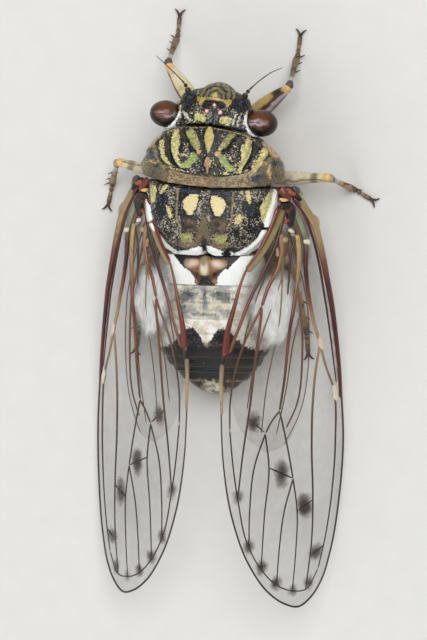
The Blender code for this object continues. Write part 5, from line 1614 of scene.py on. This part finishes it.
def make_opercula(material):
    """The two scales that cover the drums under the base of the abdomen."""
    out = np.linspace(0.03, 1, OPERCULUM_RINGS)
    share = np.concatenate([out, out[::-1]])[:, None]
    face = np.repeat((0, 1), OPERCULUM_RINGS)[:, None]
    turn = np.linspace(0, math.tau, OPERCULUM_SIDES, endpoint=False)[None, :]
    across = OPERCULUM_HALVES[0] * share * np.cos(turn) * (1 - 0.2 * np.sin(turn) * share)
    edge, swell = OPERCULUM_THICKNESS
    thickness = edge + swell * np.sqrt(np.clip(1 - share ** 6, 0, 1)) + 0.02 * np.cos(share * 40)
    for side, hand in HANDS:
        x = side * (OPERCULUM_AT[0] + across)
        v = OPERCULUM_AT[1] + OPERCULUM_HALVES[1] * share * np.sin(turn)
        z = underside(x, v) - GAP - TERGITE_STEP - face * thickness
        marks = {"pale": 1 - share * 1.1 + 0 * x, "seams": share - 0.93 + 0 * x, "scales": 0.7 + 0 * x}
        shape = loft(np.stack([x, v, z], axis=-1), marks)
        piece(f"operculum_scale_{hand}", shape, material, (f"operculum_{hand}",))


# Wings

SHEET_STEPS = 260  # points along and across a membrane
SHEET_SIDES = 72
STAINS = (((5.0, 1.4), (4.0, 1.6)), ((7.5, -2.6), (2.4, 0.9), -35))
FRONT_STAIN = ((6, 4.3, 0.3), (14, 5.4, 0.3), (23, 6.4, 0.2))
# painted reflection on each hindwing: a, c of its middle, half length, half width
PAINTED_REFLECTION = ((13.4, -2.2), (4.2, 3.2))
INNER_BAND = ((1.7, -0.7), (4.2, -2.2), (6.4, -4.0), (8.3, -6.1))


def fore_marks(a, c):
    """The forewing's smoky clouds, and the stains on its root and along its front edge."""
    return {
        "smoke": joined(*(blob(a, c, (x, y), (half, wide)) for x, y, half, wide in SMOKE)),
        "stain": joined(*(blob(a, c, *stain) for stain in STAINS), stroke(a, c, FRONT_STAIN)),
        "milk": CLEAR + 0 * a,
    }


def hind_marks(a, c):
    """The hindwing's painted reflection: a white patch that stands for light reflected by its skin."""
    return {"smoke": CLEAR + 0 * a, "stain": CLEAR + 0 * a, "milk": blob(a, c, *PAINTED_REFLECTION)}


def membrane(side, leading, trailing, drop, marks_at):
    """A thin closed sheet between two edges, slack between its veins. marks_at(a, c) gives its marks."""
    lead, trail = through(leading, SHEET_STEPS), through(trailing, SHEET_STEPS)
    share = np.linspace(0, 1, SHEET_SIDES)[None, :, None]
    flat = trail[:, None] * (1 - share) + lead[:, None] * share
    a, c = flat[1:-1, :, 0], flat[1:-1, :, 1]
    slack = np.sin(math.pi * share[..., 0])
    ripple = 0.07 * np.sin(c * 2.1 + 0.4 * np.sin(a * 0.35)) * ease(a, 3, 14) * slack ** 0.3
    height = ripple + 0.05 * np.sin(a * 1.3 + c * 0.8) * slack - drop
    upper = wing_place(side, a, c, height + MEMBRANE_HALF)
    lower = wing_place(side, a, c, height - MEMBRANE_HALF)
    marks = {**marks_at(a, c), "tint": ease(a, 18, 34)}
    both = {name: np.concatenate([field, field[:, ::-1]], axis=1) for name, field in marks.items()}
    return loft(np.concatenate([upper, lower[:, ::-1]], axis=1), both)


def vein(side, points, start, end, paint, drop, flat=0.8, sides=12):
    """A rib along the wing's sheet, from one radius to another, with a paint as for a tube."""
    line, along, share = run(points, 0.3, 6)
    radius = tapered(start + (end - start) * share, share, length(points), 0.05)[:, None]
    turns = np.linspace(0, math.tau, sides, endpoint=False)
    reach = radius * np.cos(turns)
    a = line[:, :1] - along[:, 1:] * reach
    c = line[:, 1:] + along[:, :1] * reach
    return tube(wing_place(side, a, c, radius * flat * np.sin(turns) - drop), share, turns, paint)


def veins(side, table, drop):
    """All the veins of a wing."""
    return [vein(side, points, start, end, graded(*names), drop)
            for start, end, names, points in table.values()]


def inner_band_paint(at):
    """Olive, with a red inner edge that widens and a dark outer one."""
    colour = blend(at.share, ("moss", "khaki", "khaki", "tan"))
    colour = over(colour, "brick", ease(-at.aside, 0.1 + 0.25 * at.share, 0.35 + 0.25 * at.share))
    return over(colour, "wine", ease(at.aside, 0.75, 0.9))


def hinge_paint(at):
    """Dark red skin, clouded with a lighter red near the body and with black."""
    colour = blend(at.share, ("wine", "brick", "wine", "soot", "soot"))
    colour = over(colour, "salmon", ease(noise(at.points, 0.8, 12), 0.35, 0.6) * 0.6 * (1 - at.share))
    return over(colour, "soot", ease(noise(at.points, 0.5, 13), 0.35, 0.6))


def hinge(side):
    """The folded skin at the root of the forewing, from the body to the first veins."""
    start = on_side(side, (6.0, 13.3, 9.6))
    middle, end = wing_points(side, ((2.0, 0.3), (4.2, 0.4)), -0.1)
    line = (start, start + (middle - start) * 0.6, middle, end)
    corner = (start + on_side(side, (0.6, -0.7, 0)), *wing_points(side, ((0.3, 1.1), (1.7, 2.0)), 0.0))
    return [
        bar(line, ((0, 1.05), (0.4, 0.9), (0.75, 0.6), (1, 0.3)), 36, 0.1, hinge_paint, 0.7),
        bar(corner, ((0, 0.7), (0.5, 0.62), (1, 0.35)), 28, 0.1, hinge_paint, 0.7),
    ]


def knob(side, a, c, lift, half, wide, thick, angle, name):
    """A lumpy swelling on the wing's sheet, with painted shade underneath."""
    polar = np.linspace(0, math.pi, 15)[1:-1, None]
    turns = np.linspace(0, math.tau, 28, endpoint=False)[None, :]
    unit = np.stack([
        np.cos(polar) + 0 * turns, np.sin(polar) * np.cos(turns), np.sin(polar) * np.sin(turns),
    ])
    unit = unit * (1 + 0.25 * noise(np.moveaxis(unit, 0, -1) + 3 * a, 0.8, 15))
    cos, sin = math.cos(math.radians(angle)), math.sin(math.radians(angle))
    along = half * unit[0] * cos - wide * unit[1] * sin
    across = half * unit[0] * sin + wide * unit[1] * cos
    grid = wing_place(side, a + along, c + across, lift + thick * unit[2])
    # painted shade: umber over the underside of the knob
    shade = ease(-unit[2] + 0.5 * noise(grid, 0.4, 14), -0.6, 0.4) * 0.8
    return loft(grid, {"paint": over(plain(name, grid.shape[:2]), "umber", shade)})


def hind_root(side):
    """The stalk of the hindwing, from the body to its first veins."""
    start = on_side(side, (5.8, 16.4, 8.6))
    middle, end = wing_points(side, ((5.4, 0.1), (7.8, 0.0)), -HINDWING_DROP)
    line = (start, start + (middle - start) * 0.6, middle, end)
    return bar(line, ((0, 0.7), (0.5, 0.6), (1, 0.2)), 24, 0.12, graded("brown", "tan", "rust"))


def make_wings():
    """Each forewing's skin, veins and folded root, and each hindwing's skin and veins."""
    skin_material = membrane_material()
    vein_material = painted("wing_vein", 0.3, "umber", 0.015, 0.25, Roughness=0.35, Coat_Weight=0.2)
    knob_material = painted("wing_root", 0.3, "brown", 0.03, 0.3, Roughness=0.38, Coat_Weight=0.25)
    for side, hand in HANDS:
        fore = membrane(side, FOREWING_LEADING, FOREWING_TRAILING, 0.0, fore_marks)
        piece(f"forewing_skin_{hand}", fore, skin_material, (f"forewing_{hand}",))
        band = vein(side, INNER_BAND, 0.74, 0.42, inner_band_paint, 0.0, 0.4, 32)
        ribs = merged([*veins(side, FOREWING_VEINS, 0.0), band])
        piece(f"forewing_veins_{hand}", ribs, vein_material)
        root = merged([*hinge(side), *(knob(side, *row) for row in WING_KNOBS)])
        piece(f"forewing_root_{hand}", root, knob_material)
        hind = membrane(side, HINDWING_LEADING, HINDWING_TRAILING, HINDWING_DROP, hind_marks)
        piece(f"hindwing_skin_{hand}", hind, skin_material, (f"hindwing_{hand}",))
        ribs = merged([*veins(side, HINDWING_VEINS, HINDWING_DROP), hind_root(side)])
        piece(f"hindwing_veins_{hand}", ribs, vein_material)


# Legs

def coxa_paint(at):
    """Khaki to sand, with dark clouds."""
    colour = blend(at.share, ("khaki", "tan", "sand"))
    return over(colour, "umber", ease(noise(at.points, 0.8, 24), 0.3, 0.6) * 0.8)


def left_femur_paint(at):
    """The left fore femur: cream, with a red-brown and pink outer side and a peach knee."""
    out = 0.2 * noise(at.points, 0.7, 21) - at.aside
    colour = over(blend(at.share, ("cream", "cream", "bone")), "rust", ease(out, 0.55, 0.75))
    colour = over(colour, "pink", ease(out, 0.85, 0.95))
    return over(colour, "peach", ease(at.share, 0.84, 0.92))


def right_femur_paint(at):
    """The right fore femur: gold, brown, lilac and bark side by side, a dark ring and a peach knee."""
    out = 0.2 * noise(at.points, 0.7, 21) + at.aside
    colour = blend(at.share, ("olive", "gold", "gold", "amber"))
    colour = over(colour, "brown", ease(out, -0.25, -0.05))
    colour = over(colour, "lilac", ease(out, 0.3, 0.45))
    colour = over(colour, "bark", ease(out, 0.8, 0.95))
    ring = ease(0.07 - np.abs(at.share - 0.79), -0.04, 0.03)
    colour = over(colour, "umber", ring * ease(-out, -0.6, 0.2))
    return over(colour, "peach", ease(at.share, 0.86, 0.92))


def pale_femur_paint(at):
    """The other femora: cream above and amber below, with a dark line, a dark ring and a peach knee."""
    wave = 0.3 * noise(at.points, 0.8, 22)
    colour = blend(at.share, ("tan", "bone", "cream"))
    colour = over(colour, "amber", ease(-at.lift + wave, 0.0, 0.4) * 0.8)
    colour = over(colour, "bark", ease(0.15 - np.abs(at.aside - 0.5 + wave), -0.08, 0.08) * 0.8)
    ring = ease(0.05 - np.abs(at.share - 0.78 + 0.05 * wave), -0.03, 0.03)
    colour = over(colour, "umber", ring * 0.6)
    return over(colour, "peach", ease(at.share, 0.88, 0.94))


def tibia_paint(*names):
    """A paint for a tibia: the named inks along it, with dark rings and a silvery one."""
    def paint(at):
        """Its colour, with wavy edges to the rings."""
        wave = 0.1 * noise(at.points, 0.6, 23)
        rings = joined(0.04 - np.abs(at.share - 0.13 + wave * 0.2),
                       0.03 - np.abs(at.share - 0.55 + wave * 0.3), at.share - 0.9)
        colour = over(blend(at.share, names), "umber", ease(rings, -0.03, 0.03) * 0.75)
        pale = ease(0.07 - np.abs(at.share - 0.26 + wave * 0.2), -0.03, 0.03)
        return over(colour, "silver", pale * 0.7)

    return paint


def foot_paint(at):
    """Tan to dark, with a dark ring."""
    ring = ease(0.04 - np.abs(at.share - 0.4), -0.02, 0.02)
    return over(blend(at.share, ("tan", "bark", "umber")), "umber", ring)


def spine(start, end, radius):
    """A spike from a stout root to a fine tip."""
    return bar((start, end), ((0, radius), (1, 0.04)), 10, 0.1, graded("tan", "umber", "umber"))


def claw(tip, ahead, hook):
    """One of the two claws of a foot, bent away from the other. ahead is the way that it points."""
    aside = hook * np.array((-ahead[1], ahead[0], 0))
    knuckle = tip + (ahead + 0.55 * aside) * CLAW_LENGTH * 0.6 + np.array((0, 0, 0.14))
    point = tip + (ahead + 0.8 * aside) * CLAW_LENGTH + np.array((0, 0, 0.02))
    line = (tip - ahead * 0.15, knuckle, point)
    return bar(line, ((0, 0.16), (0.5, 0.13), (1, 0.05)), 14, 0.06, graded("brown", "umber", "soot"))


def foot(ankle, tip):
    """Three joints from the ankle to the tip, and two claws."""
    low = np.array((*ankle[:2], FOOT_Z + 0.08))
    stretch = tip - low
    joints = [
        bar((low + start * stretch, low + end * stretch), ((0, radius * 0.85), (0.8, radius), (1, radius)),
            20, 0.07, foot_paint, 0.9)
        for start, end, radius in TARSUS_JOINTS
    ]
    ahead = np.array((*stretch[:2], 0)) / np.hypot(*stretch[:2])
    return [*joints, *(claw(tip, ahead, hook) for hook in (-1, 1))]


def leg_spines(kind, side, trochanter, knee, ankle):
    """Spines under a fore femur, and a pair at each place along a tibia."""
    thigh, shin = knee - trochanter, ankle - knee
    spines = []
    for share, reach in FEMUR_SPINES if kind == "fore" else ():
        at = trochanter + share * thigh
        down = np.array((0, 0, -1)) + thigh / np.linalg.norm(thigh) * 0.3
        spines.append(spine(at + 0.3 * down, at + down * (0.7 + reach), 0.3))
    for share, reach in TIBIA_SPINES:
        at = knee + share * shin
        aside = on_side(side, (0.8, 0, 0)) + shin / np.linalg.norm(shin) * 0.7
        spines.append(spine(at, at + aside * (0.3 + reach), 0.13))
        spines.append(spine(at, at + aside * np.array((-0.6, 1, 1)) * (0.2 + 0.6 * reach), 0.1))
    return spines


def make_leg(name, joints, material):
    """Coxa, femur, tibia and foot, with their spines."""
    _, kind, hand = name.split("_")
    side = 1 if hand == "l" else -1
    root, trochanter, knee, ankle, tip = (on_side(side, joint) for joint in joints)
    thigh, shin = knee - trochanter, ankle - knee
    if kind == "fore":
        stout, tibia_inks = 1.0, ("dusk", "bark", "bark", "bark")
        femur_paint = left_femur_paint if side > 0 else right_femur_paint
    else:
        stout, tibia_inks = SLENDER, ("sand", "sand", "tan", "bark")
        femur_paint = pale_femur_paint
    femur_radii = [*((share, radius * stout) for share, radius in FEMUR_RADII), *KNEE_RADII]
    femur_line = (trochanter - 0.08 * thigh, trochanter + 0.3 * thigh, knee + 0.03 * thigh)
    tibia_line = (knee - 0.04 * shin, knee + 0.5 * shin + SHIN_BOW, ankle)
    verts, faces, marks = merged([
        bar((root, trochanter), COXA_RADII, 32, 0.1, coxa_paint),
        bar(femur_line, femur_radii, 36, 0.09, femur_paint, 0.9),
        bar(tibia_line, TIBIA_RADII, 28, 0.09, tibia_paint(*tibia_inks)),
        *foot(ankle, tip),
        *leg_spines(kind, side, trochanter, knee, ankle),
    ])
    verts[:, 2] = np.maximum(verts[:, 2], 0.0)
    piece(f"{name}_limb", (verts, faces, marks), material, (name,))


def make_legs():
    """The six legs."""
    material = painted("leg_cuticle", 0.35, "brown", 0.02, 0.35, Roughness=0.42, Coat_Weight=0.12)
    for name, joints in LEGS.items():
        make_leg(name, joints, material)


# Hair

HAIR_FACES = ((0, 1, 4, 3), (1, 2, 5, 4), (2, 0, 3, 5), (3, 4, 6), (4, 5, 6), (5, 3, 6), (2, 1, 0))
HAIR_BEND = 0.55  # how far along a hair its middle points are
HAIR_MAP = ((0, 0), (1, 0), (2, 0), (0, 1), (1, 1), (2, 1), (1, 2))  # places of its points on the map
MAP_STEP = 0.0015
MAP_MARGIN = 0.02


def strands(root, normal, aside, flow, size, tip):
    """Points of thin three-sided spikes: three in the skin, three midway and the tip for each."""
    turns = np.arange(3)[:, None, None] * math.tau / 3
    ring = (np.cos(turns) * aside + np.sin(turns) * np.cross(flow, aside)) * (0.014 + 0.01 * size)
    low = root - 0.04 * normal + ring
    high = root + size * HAIR_BEND * flow + 0.65 * ring
    points = [np.moveaxis(low, 0, 1), np.moveaxis(high, 0, 1), tip[:, None]]
    return np.concatenate(points, axis=1).reshape(-1, 3)


def hairs(name, grid, chosen, count, reach, lean, material, seed, lift=0.45):
    """Fine tapered hairs on a grid of rings, lying back along the body.

    chosen(points) gives how likely a place is to carry one, reach is the shortest and longest
    length, lean is how far they lie back and lift how far they stand up. Each hair has its own
    small patch of the OFBake map at its root's place on the skin.
    """
    rng = np.random.default_rng(seed)
    rows, sides = grid.shape[:2]
    back = np.gradient(grid, axis=0)
    back /= np.linalg.norm(back, axis=2, keepdims=True)
    weight = chosen(grid)
    weight[:3], weight[-3:] = 0, 0
    picks = rng.choice(rows * sides, count, p=(weight / weight.sum()).ravel())
    k, n = np.divmod(picks, sides)
    root, normal, tail = grid[k, n], outward(grid)[k, n], back[k, n]
    aside = np.cross(normal, tail)
    size = rng.uniform(*reach, count)[:, None]
    sway = rng.normal(0, 0.3, (count, 2))
    flow = lift * normal + lean * tail + sway[:, :1] * aside
    flow /= np.linalg.norm(flow, axis=1)[:, None]
    tip = root + size * flow + size * 0.25 * (tail * lean + sway[:, 1:] * aside)
    verts = strands(root, normal, aside, flow, size, tip)
    points = len(HAIR_MAP)
    faces = [tuple(points * h + k for k in corners) for h in range(count) for corners in HAIR_FACES]
    reached = np.tile((0, 0, 0, HAIR_BEND, HAIR_BEND, HAIR_BEND, 1.0), count)
    made = piece(name, (verts, faces, {"reach": reached}), material)
    corners = [corner for face in HAIR_FACES for corner in face]
    spots = np.array(HAIR_MAP)[corners] * MAP_STEP
    places = MAP_MARGIN + (1 - 2 * MAP_MARGIN) * np.column_stack([n / sides, k / rows])
    layer = made.data.uv_layers.new(name="OFBake")
    layer.data.foreach_set("uv", (places[:, None] + spots).astype(np.float32).ravel())


def on_sides(points):
    """Where the shields carry hair: mostly on their sides."""
    return ease(points[..., 2], 8.3, 8.8) * (0.15 + ease(np.abs(points[..., 0]), 6.0, 7.8) * 1.6)


def on_crown(points):
    """Where the head carries hair: on top."""
    return ease(points[..., 2], 8.0, 9.0) * ease(points[..., 1], 1.0, 1.6)


def on_belly(points):
    """Where the thorax carries hair: below the shields."""
    return ease(7.6 - points[..., 2], 0.0, 1.0)


def on_bloom(points):
    """Where the abdomen carries hair: on the sides of its white bloom."""
    white = ease(30.0 - points[..., 1], -0.5, 1.0)
    return ease(points[..., 2], 3.5, 6.0) * (0.1 + ease(np.abs(points[..., 0]), 4.5, 6.5)) * (0.03 + white)


def make_hair(head, pronotum, mesonotum, thorax, abdomen):
    """Short gold hair on the head, and longer pale hair on the rest of the body."""
    pale = hair_material("pale_hair", "sand", "bone")
    dark = hair_material("gold_hair", "brown", "gold")
    hairs("head_hair", turned(head), on_crown, 900, (0.12, 0.35), 0.6, dark, 31)
    hairs("pronotum_hair", pronotum, on_sides, 1100, (0.12, 0.3), 0.7, pale, 32)
    hairs("mesonotum_hair", mesonotum, on_sides, 1200, (0.12, 0.35), 0.7, pale, 33)
    hairs("thorax_hair", thorax, on_belly, 5000, (0.3, 0.9), 0.7, pale, 34)
    hairs("abdomen_hair", abdomen, on_bloom, 4000, (0.15, 0.45), 0.9, pale, 35, 0.3)


# Floor, lights and camera

CAMERA_TARGET = (1.593, 1.009, 8.0)  # millimetres in the frame
CAMERA_DISTANCE = 450.0
CAMERA_BACK = (-0.15091, -0.09506, 0.98397)  # from the target to the camera
CAMERA_UP = (0.02722, -0.99539, -0.09199)
CAMERA_LENS = 219.86
CAMERA_CLIP = (0.01, 10)
FLOOR_SIZE = 6.0
LAMPS = {  # place over the insect in metres, size, power in watts, colour
    "window": ((-0.14, -0.3, 0.7), 0.5, 4.3, (1.0, 0.99, 0.97)),
    "fill": ((0.5, 0.15, 0.5), 0.6, 1.2, (0.93, 0.96, 1.0)),
    "back": ((0.1, 0.6, 0.35), 0.5, 1.2, (1.0, 0.99, 0.97)),
}
WORLD_COLOUR = (0.95, 0.97, 1.0, 1)
WORLD_STRENGTH = 0.32


def make_floor():
    """A wide sheet of paper under the insect."""
    half = FLOOR_SIZE / 2
    corners = [(-half, -half, 0), (half, -half, 0), (half, half, 0), (-half, half, 0)]
    mesh = bpy.data.meshes.new("floor")
    mesh.from_pydata(corners, [], [(0, 1, 2, 3)])
    mesh.materials.append(floor_material())
    floor = linked("floor", mesh)


def make_lights():
    """Soft daylight from ahead, two weaker lamps, and an even sky."""
    for name, (at, size, power, colour) in LAMPS.items():
        light = bpy.data.lights.new(name, "AREA")
        light.size, light.energy, light.color = size, power, colour
        lamp = linked(name, light)
        lamp.location = at
        lamp.rotation_mode = "QUATERNION"
        lamp.rotation_quaternion = Vector(at).to_track_quat("Z", "Y")
    world = bpy.data.worlds.new("studio")
    world.use_nodes = True
    sky = world.node_tree.nodes["Background"].inputs
    sky["Color"].default_value = WORLD_COLOUR
    sky["Strength"].default_value = WORLD_STRENGTH
    bpy.context.scene.world = world


def make_camera():
    """At the photograph's angle: nearly overhead, a little to the insect's right and ahead of it."""
    camera = bpy.data.cameras.new("camera")
    camera.lens = CAMERA_LENS
    camera.clip_start, camera.clip_end = CAMERA_CLIP
    back, up = Vector(CAMERA_BACK).normalized(), Vector(CAMERA_UP)
    right = up.cross(back).normalized()
    turn = Matrix((right, back.cross(right), back)).transposed().to_4x4()
    at = (Vector(CAMERA_TARGET) + CAMERA_DISTANCE * back) * MM
    made = linked("camera", camera)
    made.matrix_world = Matrix.Translation(at) @ turn
    bpy.context.scene.camera = made


def main():
    """Builds every piece, then the floor, the lights and the camera."""
    bpy.context.scene.view_settings.view_transform = "Standard"
    head = make_head()
    make_ocelli(head)
    make_eyes()
    make_clypeus()
    make_rostrum()
    make_antennae()
    pronotum = make_pronotum()
    mesonotum = make_mesonotum()
    make_metanotum()
    make_cross()
    thorax, belly = make_thorax()
    abdomen = make_abdomen()
    make_tail()
    make_opercula(belly)
    make_wings()
    make_legs()
    make_hair(head, pronotum, mesonotum, thorax, abdomen)
    make_floor()
    make_lights()
    make_camera()


main()
bpy.context.view_layer.update()
